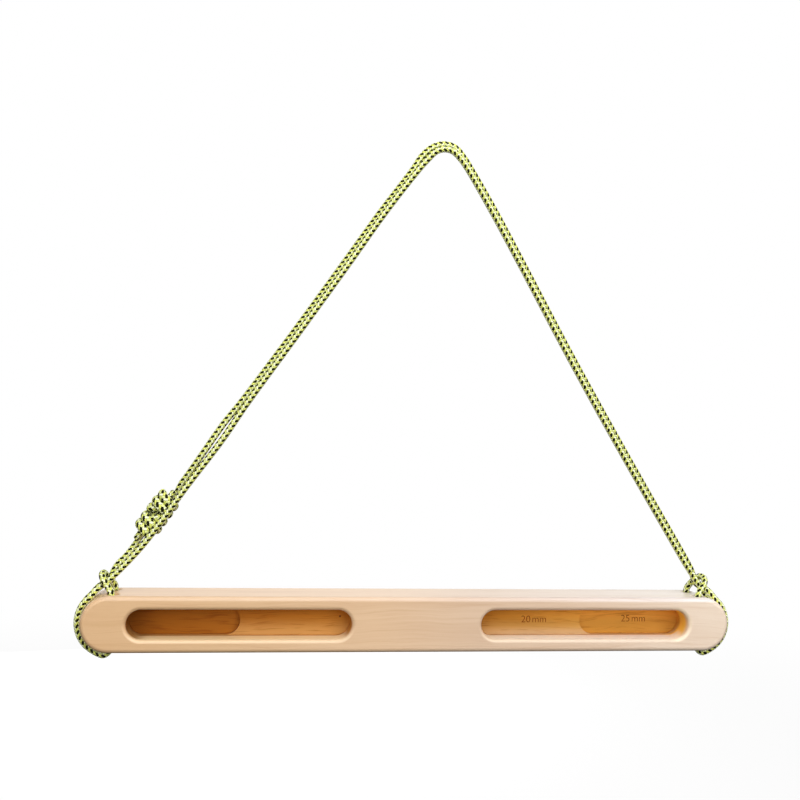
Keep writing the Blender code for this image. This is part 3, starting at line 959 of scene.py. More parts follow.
@dataclass
class Board:
    """The milled board with its pockets and holes."""

    length: float = 0.500
    height: float = 0.042
    depth: float = 0.044
    roundover: float = 0.0035
    pockets: PocketSizes = field(default_factory=PocketSizes)
    holes: HoleSizes = field(default_factory=HoleSizes)
    end_segments: int = 28
    pocket_segments: int = 20
    roundover_segments: int = 7
    hole_segments: int = 40
    smooth_angle: float = math.radians(32)
    face_tolerance: float = 1e-5
    outline_tolerance: float = 5e-5

    @property
    def end_radius(self) -> float:
        """Radius of the round ends."""
        return self.height / 2

    @property
    def end_centre(self) -> float:
        """Distance from the middle to the centre of a round end."""
        return self.length / 2 - self.end_radius

    @property
    def hole_x(self) -> float:
        """Distance from the middle to the holes."""
        return self.length / 2 - self.holes.inset

    @property
    def hole_y(self) -> float:
        """Distance from the middle plane to each hole."""
        return self.holes.spacing / 2

    def build(self, finish: Beech) -> bpy.types.Object:
        """Mill, round, smooth and dress the board.

        Args:
            finish: Wood of the board.

        Returns:
            The finished piece.
        """
        board = self._blank()
        for face in Face:
            for side in Side:
                for cutter in self._pocket_cutters(face, side):
                    Workbench.cut(board, cutter)
        Workbench.clean(board)
        self._ease_mouths(board)
        for side in Side:
            for y in (-self.hole_y, self.hole_y):
                Workbench.cut(board, self._hole_cutter(side.value * self.hole_x, y))
        Workbench.clean(board)
        Workbench.hang(board)
        Workbench.finish(board, self.smooth_angle)
        Workbench.dress(board, finish.material(self.pockets, self.depth / 2))
        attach(board, Body.BOARD.value)
        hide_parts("board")
        return board

    def _blank(self) -> bpy.types.Object:
        """Stadium block with its rims rounded over.

        Returns:
            The blank.
        """
        half = (self.length / 2, self.depth / 2, self.height / 2)
        blank = Workbench.block("beech_board", tuple(-h for h in half), half)
        Workbench.round_ends(blank, self.end_radius, self.end_segments)
        with Workbench.editing(blank):
            Workbench.pick_edges(blank, lambda a, b: abs(a.y - b.y) < Workbench.SAME_PLACE)
            Workbench.round_over(self.roundover, self.roundover_segments)
        return blank

    def _slot(self, name: str, start: float, end: float, face: Face, side: Side,
              depth: float) -> bpy.types.Object:
        """Round-ended cutter from outside a face down to a depth.

        Args:
            name: Name of the cutter.
            start: End nearer the middle.
            end: End farther out.
            face: Face that it is cut from.
            side: Half of the board.
            depth: Depth of its floor.

        Returns:
            The cutter.
        """
        half = self.pockets.height / 2
        outside = face.value * (self.depth / 2 + self.pockets.cutter_reach)
        floor = face.value * (self.depth / 2 - depth)
        xs = sorted((side.value * start, side.value * end))
        ys = sorted((outside, floor))
        cutter = Workbench.block(name, (xs[0], ys[0], -half), (xs[1], ys[1], half))
        Workbench.round_ends(cutter, half, self.pocket_segments)
        return cutter

    def _pocket_cutters(self, face: Face, side: Side) -> list[bpy.types.Object]:
        """The floor along the whole pocket, and the step in one half of it.

        Args:
            face: Face that the pocket is in.
            side: Half of the board that it is in.

        Returns:
            Two cutters.
        """
        sizes = self.pockets
        middle = (sizes.inner_end + sizes.outer_end) / 2
        if face is Face.FRONT:
            floor, step = sizes.floor_depth, sizes.step_depth
            start, end = middle, sizes.outer_end
        else:
            floor = self.depth - sizes.web - sizes.step_depth
            step = self.depth - sizes.web - sizes.floor_depth
            start, end = sizes.inner_end, middle
        return [self._slot("floor", sizes.inner_end, sizes.outer_end, face, side, floor),
                self._slot("step", start, end, face, side, step)]

    def _ease_mouths(self, board: bpy.types.Object) -> None:
        """Round over the rims of the four pockets.

        Args:
            board: Board with its pockets cut.
        """
        sizes = self.pockets
        half = sizes.height / 2
        near, far = sizes.inner_end + half, sizes.outer_end - half

        def on_rim(point: Vector) -> bool:
            """Whether a point lies on a pocket's outline, on a broad face."""
            along = max(0.0, abs(abs(point.x) - (near + far) / 2) - (far - near) / 2)
            off = math.hypot(along, point.z)
            on_face = abs(abs(point.y) - self.depth / 2) < self.face_tolerance
            return on_face and abs(off - half) < self.outline_tolerance

        with Workbench.editing(board):
            found = Workbench.pick_edges(board, lambda a, b: on_rim(a) and on_rim(b))
            LOG.info("pocket rims: %d edges", found)
            Workbench.round_over(sizes.mouth_roundover, self.roundover_segments)

    def _hole_cutter(self, x: float, y: float) -> bpy.types.Object:
        """Upright hole with flared mouths, spun round its axis.

        Args:
            x: Place of its axis along the board.
            y: Place of its axis in depth.

        Returns:
            The cutter.
        """
        bore, flare = self.holes.diameter / 2, self.holes.mouth_roundover
        top = self.height / 2
        outside = top + self.holes.cutter_reach
        profile = [(bore + flare, outside)]
        for i in range(self.roundover_segments + 1):
            turn = math.pi / 2 * i / self.roundover_segments
            profile.append((bore + flare * (1 - math.sin(turn)), top - flare * (1 - math.cos(turn))))
        profile += [(r, -z) for r, z in reversed(profile)]
        points = [(x, y, outside), *((x + r, y, z) for r, z in profile), (x, y, -outside)]
        mesh = bpy.data.meshes.new("hole")
        mesh.from_pydata(points, [(i, i + 1) for i in range(len(points) - 1)], [])
        cutter = bpy.data.objects.new("hole", mesh)
        bpy.context.scene.collection.objects.link(cutter)
        with Workbench.editing(cutter):
            bpy.ops.mesh.spin(steps=self.hole_segments, angle=math.tau, center=(x, y, 0), axis=(0, 0, 1))
            Workbench.mend(Workbench.SAME_PLACE)
        return cutter


@dataclass(frozen=True)
class DepthMark:
    """A depth burnt into a pocket's floor, in thin closed letters just off it."""

    name: str
    words: str
    start: tuple[float, float]
    floor_y: float
    width: float = 0.02
    height: float = 0.0053
    stroke_offset: float = -0.012
    word_gap: float = 0.45
    curve_segments: int = 4
    half_thickness: float = 0.00003
    lift: float = 0.00006

    def build(self, finish: Scorch) -> bpy.types.Object:
        """Set the letters, bring them to size and place them.

        Args:
            finish: Burnt wood.

        Returns:
            The finished piece.
        """
        bpy.ops.object.select_all(action="DESELECT")
        bpy.ops.object.text_add(location=(0, 0, 0), rotation=(0, 0, 0))
        mark = bpy.context.object
        mark.name = self.name
        mark.data.body = self.words
        mark.data.size = 1.0
        mark.data.offset = self.stroke_offset
        mark.data.space_word = self.word_gap
        mark.data.resolution_u = self.curve_segments
        mark.data.extrude = self.half_thickness
        bpy.ops.object.convert(target="MESH")
        mesh = mark.data
        xs = [v.co.x for v in mesh.vertices]
        ys = [v.co.y for v in mesh.vertices]
        across = self.width / (max(xs) - min(xs))
        up = self.height / (max(ys) - min(ys))
        mesh.transform(Matrix.Translation((-min(xs), -min(ys), 0)))
        mesh.transform(Matrix.Diagonal((across, up, 1, 1)))
        mesh.transform(Matrix.Rotation(math.pi / 2, 4, "X"))
        mesh.transform(Matrix.Translation((self.start[0], self.floor_y - self.lift, self.start[1])))
        with Workbench.editing(mark):
            Workbench.mend(Workbench.SAME_PLACE)
        Workbench.hang(mark)
        Workbench.dress(mark, finish.material())
        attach(mark, Body.BOARD.value)
        return mark


# Cord


def curve_point(points: list[Vector], share: float) -> Vector:
    """Point of a centripetal curve between the second and third of four points.

    Args:
        points: Four points in order.
        share: Share of the way from the second to the third.

    Returns:
        The point.
    """
    knots = [0.0]
    for first, second in zip(points, points[1:]):
        knots.append(knots[-1] + math.sqrt((second - first).length))
    place = knots[1] + (knots[2] - knots[1]) * share

    def mix(first: Vector, second: Vector, low: float, high: float) -> Vector:
        """Straight mix of two points by their knots."""
        return first.lerp(second, (place - low) / (high - low))

    one = mix(points[0], points[1], knots[0], knots[1])
    two = mix(points[1], points[2], knots[1], knots[2])
    three = mix(points[2], points[3], knots[2], knots[3])
    return mix(mix(one, two, knots[0], knots[2]), mix(two, three, knots[1], knots[3]),
               knots[1], knots[2])


def smooth_curve(before: Vector, points: list[Vector], after: Vector, step: float) -> list[Vector]:
    """Smooth line through the points.

    Args:
        before: Point ahead of the line.
        points: Points that it passes.
        after: Point behind the line.
        step: Wanted distance of the samples.

    Returns:
        The samples.
    """
    line = [before, *points, after]
    samples = []
    for i in range(1, len(points)):
        four = line[i - 1:i + 3]
        count = max(1, round((four[2] - four[1]).length / step))
        samples += [curve_point(four, j / count) for j in range(count)]
    return [*samples, points[-1]]


def bezier(start: Vector, start_handle: Vector, end_handle: Vector, end: Vector,
           count: int) -> list[Vector]:
    """Points between two ends of a cubic curve, both ends left out.

    Args:
        start: First end.
        start_handle: Its handle.
        end_handle: Handle of the other end.
        end: Other end.
        count: Parts that the curve is split into.

    Returns:
        The points.
    """
    points = []
    for i in range(1, count):
        t = i / count
        s = 1 - t
        point = start * s**3 + start_handle * (3 * s * s * t)
        points.append(point + end_handle * (3 * s * t * t) + end * t**3)
    return points


@dataclass(frozen=True)
class FishermansBend:
    """Two wound barrels, each wound back over the cords in its core."""

    centre: Point = (-0.1981, 0.0083, 0.0787)
    lean: float = math.radians(34)
    cord_diameter: float = 0.0044
    core_gap: float = 0.0005
    turn_gap: float = 0.0006
    pitch: float = 0.0067
    turns: float = 2.5
    middle_share: float = 0.25
    lower_tail: float = 0.0094
    upper_tail: float = 0.0066
    taper: float = 0.008
    twist: float = math.radians(55)
    twist_reach: float = 0.009
    own_place: float = math.radians(150)
    tail_place: float = math.radians(-90)
    first_turn: float = math.radians(242)
    last_turn: float = math.radians(-12)
    curl_rise: float = 0.0028
    curl_drop: float = 0.0062
    curl_sweep: float = 0.0090
    tuck_sweep: float = 0.0095
    tuck_rise: float = 0.0065
    tuck_depth: float = 0.0080
    turn_points: int = 16
    curl_points: int = 6
    core_points: int = 4
    flat_width: float = 0.0068

    @property
    def core_radius(self) -> float:
        """Distance from the knot's axis to each cord in the core."""
        return (self.cord_diameter + self.core_gap) / math.sqrt(3)

    @property
    def turn_radius(self) -> float:
        """Distance from the knot's axis to the cord of a turn."""
        return self.core_radius + self.cord_diameter + self.turn_gap

    @property
    def axes(self) -> tuple[Vector, Vector, Vector]:
        """Outward, back and along directions."""
        along = Vector((math.sin(self.lean), 0, math.cos(self.lean)))
        outward = Vector((-math.cos(self.lean), 0, math.sin(self.lean)))
        return outward, Vector((0, 1, 0)), along

    @staticmethod
    def around(radius: float, angle: float, along: float) -> Vector:
        """Point beside the axis: outwards, back and along."""
        return Vector((radius * math.cos(angle), radius * math.sin(angle), along))

    def turn_point(self, angle: float) -> Vector:
        """Point of the turns at this angle of winding."""
        start = -self.turns * self.pitch - self.middle_share * self.pitch
        return self.around(self.turn_radius, angle, start + self.pitch * angle / math.tau)

    @property
    def curl_foot(self) -> float:
        """Level where the cord leaves the core to curl out."""
        return self.turn_point(self.first_turn).z + self.curl_rise

    def tail_level(self, tail: float) -> float:
        """Level where a cut tail of this length ends."""
        return self.curl_foot - self.curl_rise - tail

    def barrel(self, tail: float) -> list[Vector]:
        """One end of the cord: down the core, out, round and tucked under.

        Args:
            tail: How far its tail stands out of the barrel.

        Returns:
            Points from the knot's middle to the tail.
        """
        last = math.tau * self.turns + self.last_turn
        rise = self.pitch / math.tau / self.turn_radius
        core = self.core_radius
        lead = self.core_line(self.curl_foot)
        first = self.first_turn
        sweep = Vector((-math.sin(first), math.cos(first), rise)) * self.curl_sweep
        handle = lead[-1] - Vector((0, 0, self.curl_drop))
        curl = bezier(lead[-1], handle, self.turn_point(first) - sweep, self.turn_point(first),
                      self.curl_points)
        steps = round((last - first) / math.tau * self.turn_points)
        turns = [self.turn_point(first + (last - first) * i / steps) for i in range(steps + 1)]
        sweep = Vector((-math.sin(last), math.cos(last), rise)) * self.tuck_sweep
        tucked = self.around(core, self.tail_place, -self.tuck_depth)
        handle = tucked + Vector((0, 0, self.tuck_rise))
        tuck = bezier(turns[-1], turns[-1] + sweep, handle, tucked, self.curl_points)
        tail_end = self.around(core, self.tail_place, self.tail_level(tail))
        return lead + curl + turns + tuck + [tucked, (tucked + tail_end) / 2, tail_end]

    def core_line(self, level: float) -> list[Vector]:
        """Points of the cord in the core, from the knot's middle to a level."""
        return [self.around(self.core_radius, self.own_place, level * i / self.core_points)
                for i in range(self.core_points + 1)]

    def core(self, tail: float) -> list[Vector]:
        """Core of the other barrel, as far as that barrel's tail."""
        return self.core_line(-self.tail_level(tail))[1:]

    def place(self, point: Vector, turned: bool = False) -> Vector:
        """Put a barrel's point in its place; the upper barrel is turned half round.

        The lower barrel is also twisted on from the upper one about the axis.

        Args:
            point: Point beside the axis.
            turned: Whether it belongs to the upper barrel.

        Returns:
            The point from the board's centre.
        """
        outward, back, along = self.axes
        sign = -1 if turned else 1
        level = sign * point.z
        share = min(1.0, max(0.0, 0.5 - level / (2 * self.twist_reach)))
        spin = Matrix.Rotation(self.twist * share, 2)
        aside, behind = spin @ Vector((sign * point.x, point.y))
        return Vector(self.centre) + outward * aside + back * behind + along * level

    def pressed(self, point: Vector, diameter: float) -> float:
        """Share of the full diameter that the cord keeps at a point.

        Args:
            point: Point from the board's centre.
            diameter: Full diameter.

        Returns:
            The share.
        """
        offset = point - Vector(self.centre)
        level = offset.dot(self.axes[2])
        tail = self.lower_tail if level < 0 else self.upper_tail
        beyond = max(0.0, abs(level) + self.tail_level(tail))
        least = self.cord_diameter / diameter
        return min(1.0, least + (1 - least) * beyond / self.taper)

    def flattening(self, point: Vector) -> float:
        """How far a turn is pressed flat, from nought in the core to one outside.

        Args:
            point: Point from the board's centre.

        Returns:
            The share.
        """
        offset = point - Vector(self.centre)
        along = self.axes[2]
        radius = (offset - along * offset.dot(along)).length
        share = (radius - self.core_radius) / (self.turn_radius - self.core_radius)
        share = min(1.0, max(0.0, share))
        return share * share * (3 - 2 * share)


@dataclass(frozen=True)
class GirthHitch:
    """One end's hitch: two end wraps, two hole passages and the bight over them."""

    board: Board
    cord_diameter: float = 0.005
    seat_gap: float = 0.0003
    bend_gap: float = 0.0007
    under_bight: tuple[Point, ...] = (
        (0.2318, -0.0029, 0.0298),
        (0.2362, -0.0044, 0.0264),
        (0.2402, -0.0064, 0.0231),
    )
    front_leg: tuple[Point, ...] = (
        (0.2294, -0.0106, 0.0232),
        (0.2313, -0.0096, 0.0260),
        (0.2335, -0.0092, 0.0290),
        (0.2354, -0.0073, 0.0320),
        (0.2363, -0.0039, 0.0339),
    )
    bight_top: Point = (0.2364, 0.0, 0.0346)
    back_leg: tuple[Point, ...] = (
        (0.2358, 0.0042, 0.0343),
        (0.2344, 0.0076, 0.0321),
        (0.2316, 0.0093, 0.0290),
        (0.2292, 0.0099, 0.0260),
        (0.2280, 0.0106, 0.0232),
    )
    wrap_start_y: float = 0.0078
    wrap_angles: tuple[float, float] = (math.radians(52), math.radians(-62))
    wrap_points: int = 7
    bend_angles: tuple[float, ...] = (math.radians(-105), math.radians(-140), math.radians(-180))

    def half(self) -> list[Vector]:
        """Front half, from under the bight to the way out of the hole.

        Returns:
            The points, at the right end.
        """
        board, radius = self.board, self.cord_diameter / 2
        points = [Vector(p) for p in self.under_bight]
        wrap = board.end_radius + self.seat_gap + radius
        first, last = self.wrap_angles
        for i in range(self.wrap_points):
            share = i / (self.wrap_points - 1)
            turn = first + (last - first) * share
            y = -self.wrap_start_y - (board.hole_y - self.wrap_start_y) * share
            points.append(Vector((board.end_centre + wrap * math.cos(turn), y, wrap * math.sin(turn))))
        flare = board.holes.mouth_roundover
        bend = flare + self.bend_gap + radius
        corner_x = board.hole_x + board.holes.diameter / 2 + flare
        mouth_z = board.end_radius - flare
        for turn in self.bend_angles:
            points.append(Vector((corner_x + bend * math.cos(turn), -board.hole_y,
                                  bend * math.sin(turn) - mouth_z)))
        return points + [Vector((board.hole_x, -board.hole_y, z)) for z in (0, mouth_z)]

    def route(self, side: Side, joints: tuple[Point, Point]) -> list[Vector]:
        """Whole hitch from the front strand's joint to the back strand's.

        Args:
            side: End of the board.
            joints: Where the two strands meet the hitch.

        Returns:
            The points from the board's centre.
        """
        half = self.half()
        back_half = [Vector((p.x, -p.y, p.z)) for p in reversed(half)]
        legs = [Vector(p) for p in (*self.front_leg, self.bight_top, *self.back_leg)]
        placed = [Vector((side.value * p.x, p.y, p.z)) for p in half + legs + back_half]
        return [Vector(joints[0]), *placed, Vector(joints[1])]


class Part(Enum):
    """Lengths of the cord, in order along it, by the names of their nodes."""

    LOWER_BARREL = "knot_lower_barrel"
    BACK_UPPER = "back_strand_upper"
    RIGHT_HITCH = "right_hitch"
    FRONT = "front_strand"
    LEFT_HITCH = "left_hitch"
    BACK_LOWER = "back_strand_lower"
    UPPER_BARREL = "knot_upper_barrel"

    @property
    def is_hitch(self) -> bool:
        """Whether it is a girth hitch."""
        return self in (Part.RIGHT_HITCH, Part.LEFT_HITCH)

    @property
    def is_barrel(self) -> bool:
        """Whether it is half of the knot."""
        return self in (Part.LOWER_BARREL, Part.UPPER_BARREL)

    @property
    def is_pressed(self) -> bool:
        """Whether it runs through the knot."""
        return self.is_barrel or self in (Part.BACK_UPPER, Part.BACK_LOWER)


@dataclass
class CordLength:
    """One length of the cord as a tube with a braid map."""

    part: Part
    line: list[Vector]
    widths: list[float]
    flats: list[float]
    flat_axis: Vector
    diameter: float
    start: float
    sides: int = 20
    dome: tuple[tuple[float, float], ...] = ((0.92, 0.10), (0.70, 0.22), (0.35, 0.30))
    free_start: bool = False
    free_end: bool = False

    def directions(self) -> list[Vector]:
        """Direction of the line at each point."""
        line = self.line
        last = len(line) - 1
        return [(line[min(i + 1, last)] - line[max(i - 1, 0)]).normalized() for i in range(last + 1)]

    def frames(self) -> list[tuple[Vector, Vector]]:
        """Two directions across the cord at each point, without needless twist.

        The first faces the viewer at both ends, so that the braid's pattern
        runs on over the joints; what twist is left is spread along the length.

        Returns:
            The first and second direction at each point.
        """
        ahead = self.directions()
        first = (VIEWER_SIDE - ahead[0] * VIEWER_SIDE.dot(ahead[0])).normalized()
        carried = [first]
        for before, now in zip(ahead, ahead[1:]):
            turned = before.rotation_difference(now) @ carried[-1]
            carried.append((turned - now * turned.dot(now)).normalized())
        twist = 0.0
        if not self.free_end:
            goal = (VIEWER_SIDE - ahead[-1] * VIEWER_SIDE.dot(ahead[-1])).normalized()
            side = ahead[-1].cross(carried[-1])
            twist = math.atan2(goal.dot(side), goal.dot(carried[-1]))
        frames = []
        for i, (along, across) in enumerate(zip(ahead, carried)):
            turn = Matrix.Rotation(twist * i / (len(ahead) - 1), 3, along)
            across = turn @ across
            frames.append((across, along.cross(across)))
        return frames

    def lengths(self) -> list[float]:
        """Length along the cord at each point, from the cord's start."""
        lengths = [self.start]
        for first, second in zip(self.line, self.line[1:]):
            lengths.append(lengths[-1] + (second - first).length)
        return lengths

    def ring(self, index: int, frame: tuple[Vector, Vector], shrink: float = 1.0,
             shift: Vector = Vector()) -> list[Vector]:
        """Points round the cord.

        Args:
            index: Which point of the line.
            frame: Directions across the cord there.
            shrink: Share of the radius.
            shift: Offset of the ring's centre.

        Returns:
            One point for each side.
        """
        radius = self.widths[index] / 2 * shrink
        ring = []
        for k in range(self.sides):
            turn = math.tau * k / self.sides
            arm = frame[0] * math.cos(turn) + frame[1] * math.sin(turn)
            arm = arm + self.flat_axis * (arm.dot(self.flat_axis) * self.flats[index])
            ring.append(self.line[index] + shift + arm * radius)
        return ring

    def mesh(self) -> bpy.types.Mesh:
        """Build the tube, its closed ends and its braid map.

        Returns:
            The mesh, drawn from the board's centre.
        """
        frames, lengths, ahead = self.frames(), self.lengths(), self.directions()
        rings = [(self.ring(i, frame), length) for i, (frame, length) in enumerate(zip(frames, lengths))]
        for free, end, sign in ((self.free_start, 0, -1), (self.free_end, -1, 1)):
            if free:
                rings = self._cap(rings, frames[end], ahead[end] * sign, end)
        form = bmesh.new()
        layer = form.loops.layers.uv.new("braid")
        verts = [[form.verts.new(p) for p in ring] for ring, _ in rings]
        for (low, (_, low_v)), (high, (_, high_v)) in zip(zip(verts, rings), zip(verts[1:], rings[1:])):
            for k in range(self.sides):
                n = (k + 1) % self.sides
                face = form.faces.new((low[k], low[n], high[n], high[k]))
                face.smooth = True
                turns = (k / self.sides, (k + 1) / self.sides)
                for loop, uv in zip(face.loops, ((turns[0], low_v), (turns[1], low_v),
                                                 (turns[1], high_v), (turns[0], high_v))):
                    loop[layer].uv = uv
        for ring, length in ((verts[0][::-1], rings[0][1]), (verts[-1], rings[-1][1])):
            face = form.faces.new(ring)
            for loop in face.loops:
                loop[layer].uv = (0.5, length)
        mesh = bpy.data.meshes.new(self.part.value)
        form.to_mesh(mesh)
        form.free()
        return mesh

    def _cap(self, rings: list, frame: tuple[Vector, Vector], ahead: Vector, end: int) -> list:
        """Add a low dome to a free end.

        Args:
            rings: Rings so far.
            frame: Directions across the cord at that end.
            ahead: Direction out of the cord.
            end: 0 for the start, -1 for the end.

        Returns:
            The rings with the dome's.
        """
        dome = []
        index = 0 if end == 0 else len(self.line) - 1
        for share, rise in self.dome:
            shift = ahead * (rise * self.diameter)
            length = rings[end][1] + (-rise if end == 0 else rise) * self.diameter
            dome.append((self.ring(index, frame, share, shift), length))
        return [*reversed(dome), *rings] if end == 0 else [*rings, *dome]


@dataclass
class Sling:
    """The whole cord: knot, hitches and the two doubled strands."""

    board: Board
    diameter: float = 0.005
    bend: FishermansBend = field(default_factory=FishermansBend)
    strand_step: float = 0.0025
    hitch_step: float = 0.0012
    barrel_step: float = 0.0009
    left_joints: tuple[Point, Point] = ((-0.2247, -0.0029, 0.0370), (-0.2265, 0.0031, 0.0400))
    right_joints: tuple[Point, Point] = ((0.2255, -0.0029, 0.0388), (0.2280, 0.0029, 0.0398))
    fold_top: float = 0.0368
    fold_foot: float = 0.0300
    front_left: tuple[Point, ...] = (
        (0.0150, -0.0020, 0.3679), (0.0080, -0.0020, 0.3659), (0.0010, -0.0021, 0.3590),
        (-0.0068, -0.0022, 0.3495), (-0.0315, -0.0022, 0.3155), (-0.0570, -0.0022, 0.2770),
        (-0.0955, -0.0022, 0.2200), (-0.1340, -0.0025, 0.1635), (-0.1511, -0.0032, 0.1365),
        (-0.1774, -0.0036, 0.0997), (-0.1947, -0.0036, 0.0742), (-0.2070, -0.0035, 0.0572),
        (-0.2180, -0.0030, 0.0442),
    )
    back_left: tuple[Point, ...] = (
        (0.0148, 0.0022, 0.3726), (0.0060, 0.0022, 0.3702), (-0.0030, 0.0022, 0.3622),
        (-0.0095, 0.0022, 0.3517), (-0.0340, 0.0022, 0.3172), (-0.0598, 0.0023, 0.2787),
        (-0.0985, 0.0025, 0.2215), (-0.1380, 0.0032, 0.1650), (-0.1500, 0.0038, 0.1492),
        (-0.1640, 0.0045, 0.1278), (-0.1747, 0.0063, 0.1112), (-0.1810, 0.0079, 0.1017),
    )
    back_foot: tuple[Point, ...] = (
        (-0.2137, 0.0100, 0.0560), (-0.2168, 0.0078, 0.0512), (-0.2206, 0.0054, 0.0465),
    )
    front_right: tuple[Point, ...] = (
        (0.0215, -0.0020, 0.3663), (0.0285, -0.0021, 0.3596), (0.0338, -0.0022, 0.3524),
        (0.0540, -0.0022, 0.3203), (0.0758, -0.0022, 0.2835), (0.1192, -0.0022, 0.2090),
        (0.1652, -0.0023, 0.1335), (0.2013, -0.0026, 0.0762), (0.2196, -0.0029, 0.0473),
    )
    back_right: tuple[Point, ...] = (
        (0.0233, 0.0022, 0.3706), (0.0312, 0.0022, 0.3622), (0.0368, 0.0022, 0.3540),
        (0.0570, 0.0022, 0.3221), (0.0788, 0.0022, 0.2851), (0.1222, 0.0022, 0.2106),
        (0.1684, 0.0023, 0.1351), (0.2045, 0.0026, 0.0778), (0.2228, 0.0029, 0.0489),
    )

    def sections(self) -> list[tuple[Part, list[Vector]]]:
        """The whole cord in order, from one tail in the knot to the other.

        Returns:
            Each length with its points.
        """
        bend, hitch = self.bend, GirthHitch(self.board, self.diameter)
        lower = [bend.place(p) for p in reversed(bend.barrel(bend.lower_tail))]
        upper = [bend.place(p, True) for p in bend.barrel(bend.upper_tail)]
        left = hitch.route(Side.LEFT, self.left_joints)
        right = hitch.route(Side.RIGHT, self.right_joints)
        climb = [lower[-1], *(bend.place(p) for p in bend.core(bend.upper_tail))]
        limb = [Vector(p) for p in (*reversed(self.back_left), *self.back_right)]
        front = [Vector(p) for p in (*reversed(self.front_right), *self.front_left)]
        drop = [*(bend.place(p, True) for p in bend.core(bend.lower_tail)), *map(Vector, self.back_foot)]
        return [
            (Part.LOWER_BARREL, lower),
            (Part.BACK_UPPER, [*climb, *limb, right[-1]]),
            (Part.RIGHT_HITCH, right[::-1]),
            (Part.FRONT, [right[0], *front, left[0]]),
            (Part.LEFT_HITCH, left),
            (Part.BACK_LOWER, [left[-1], *reversed(drop), upper[0]]),
            (Part.UPPER_BARREL, upper),
        ]

    def step(self, part: Part) -> float:
        """Distance of the rings on a length."""
        if part.is_barrel:
            return self.barrel_step
        return self.hitch_step if part.is_hitch else self.strand_step

    def lengths(self) -> list[CordLength]:
        """Sample every length, with its width and flattening.

        Returns:
            The lengths in order.
        """
        sections = self.sections()
        final = len(sections) - 1
        along = self.bend.axes[2]
        widest = self.bend.flat_width / self.bend.cord_diameter - 1.0
        start, made = 0.0, []
        for i, (part, points) in enumerate(sections):
            before = sections[i - 1][1][-2] if i else 2 * points[0] - points[1]
            after = sections[i + 1][1][1] if i < final else 2 * points[-1] - points[-2]
            line = smooth_curve(before, points, after, self.step(part))
            shares = [self.bend.pressed(p, self.diameter) if part.is_pressed else 1.0 for p in line]
            flats = [self.bend.flattening(p) * widest if part.is_barrel else 0.0 for p in line]
            length = CordLength(part, line, [s * self.diameter for s in shares], flats, along,
                                self.diameter, start, free_start=i == 0, free_end=i == final)
            made.append(length)
            start = length.lengths()[-1]
        return made

    def build(self, finish: Braid) -> list[bpy.types.Object]:
        """Build, place and attach every length of the cord.

        Args:
            finish: Sheath of the cord.

        Returns:
            The finished pieces.
        """
        material = finish.material()
        pieces = []
        for length in self.lengths():
            piece = bpy.data.objects.new(f"cord_{length.part.value}", length.mesh())
            bpy.context.scene.collection.objects.link(piece)
            Workbench.hang(piece)
            Workbench.dress(piece, material)
            self._attach(piece, length)
            pieces.append(piece)
        return pieces

    def _attach(self, piece: bpy.types.Object, length: CordLength) -> None:
        """Args:
            piece: Tube of the length.
            length: What it was made from.
        """
        part = length.part
        if part.is_hitch:
            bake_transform(piece)
        else:
            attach(piece, Body.SLING.value)
        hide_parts(part.value)
        path = [p - HANG_POINT for p in length.line]
        real = length.lengths()[-1] - length.start
        if part is Part.LOWER_BARREL:
            path.reverse()


# Studio


@dataclass(frozen=True)
class Viewpoint:
    """Camera of the photograph."""

    place: Point = (-0.158315, -0.858785, -0.201391)
    yaw: float = math.radians(8.484)
    pitch: float = math.radians(-0.446)
    roll: float = math.radians(1.607)
    focal_pixels: float = 1115.23
    image_pixels: int = 800
    sensor: float = 36.0
    clip: tuple[float, float] = (0.01, 60.0)

    def build(self) -> None:
        """Make the camera and look through it."""
        data = bpy.data.cameras.new("photo_camera")
        data.sensor_width = self.sensor
        data.lens = self.focal_pixels * self.sensor / self.image_pixels
        data.clip_start, data.clip_end = self.clip
        camera = bpy.data.objects.new("photo_camera", data)
        up = Vector((0, 0, 1))
        level = Vector((math.sin(self.yaw), math.cos(self.yaw), 0))
        right = Vector((math.cos(self.yaw), -math.sin(self.yaw), 0))
        ahead = level * math.cos(self.pitch) - up * math.sin(self.pitch)
        above = level * math.sin(self.pitch) + up * math.cos(self.pitch)
        aside = right * math.cos(self.roll) + above * math.sin(self.roll)
        above = above * math.cos(self.roll) - right * math.sin(self.roll)
        turn = Matrix((aside, above, -ahead)).transposed().to_4x4()
        camera.matrix_world = Matrix.Translation(self.place) @ turn
        bpy.context.scene.collection.objects.link(camera)
        bpy.context.scene.camera = camera


class Glow(Enum):
    """What a lamp adds to a surface."""

    BOTH = "both"
    SHEEN = "sheen"
    PLAIN = "plain"


@dataclass(frozen=True)
class SoftLamp:
    """A large square lamp, aimed near the board's centre."""

    name: str
    place: Point
    width: float
    power: float
    glow: Glow = Glow.BOTH
    aim: Point = (0.0, 0.0, -0.34)

    def build(self) -> None:
        """Hang the lamp."""
        data = bpy.data.lights.new(self.name, "AREA")
        data.shape = "SQUARE"
        data.size = self.width
        data.energy = self.power
        lamp = bpy.data.objects.new(self.name, data)
        lamp.location = self.place
        aim = Vector(self.aim) - Vector(self.place)
        lamp.rotation_euler = aim.to_track_quat("-Z", "Y").to_euler()
        lamp.visible_diffuse = self.glow is not Glow.SHEEN
        lamp.visible_glossy = self.glow is not Glow.PLAIN
        lamp.visible_camera = False
        bpy.context.scene.collection.objects.link(lamp)


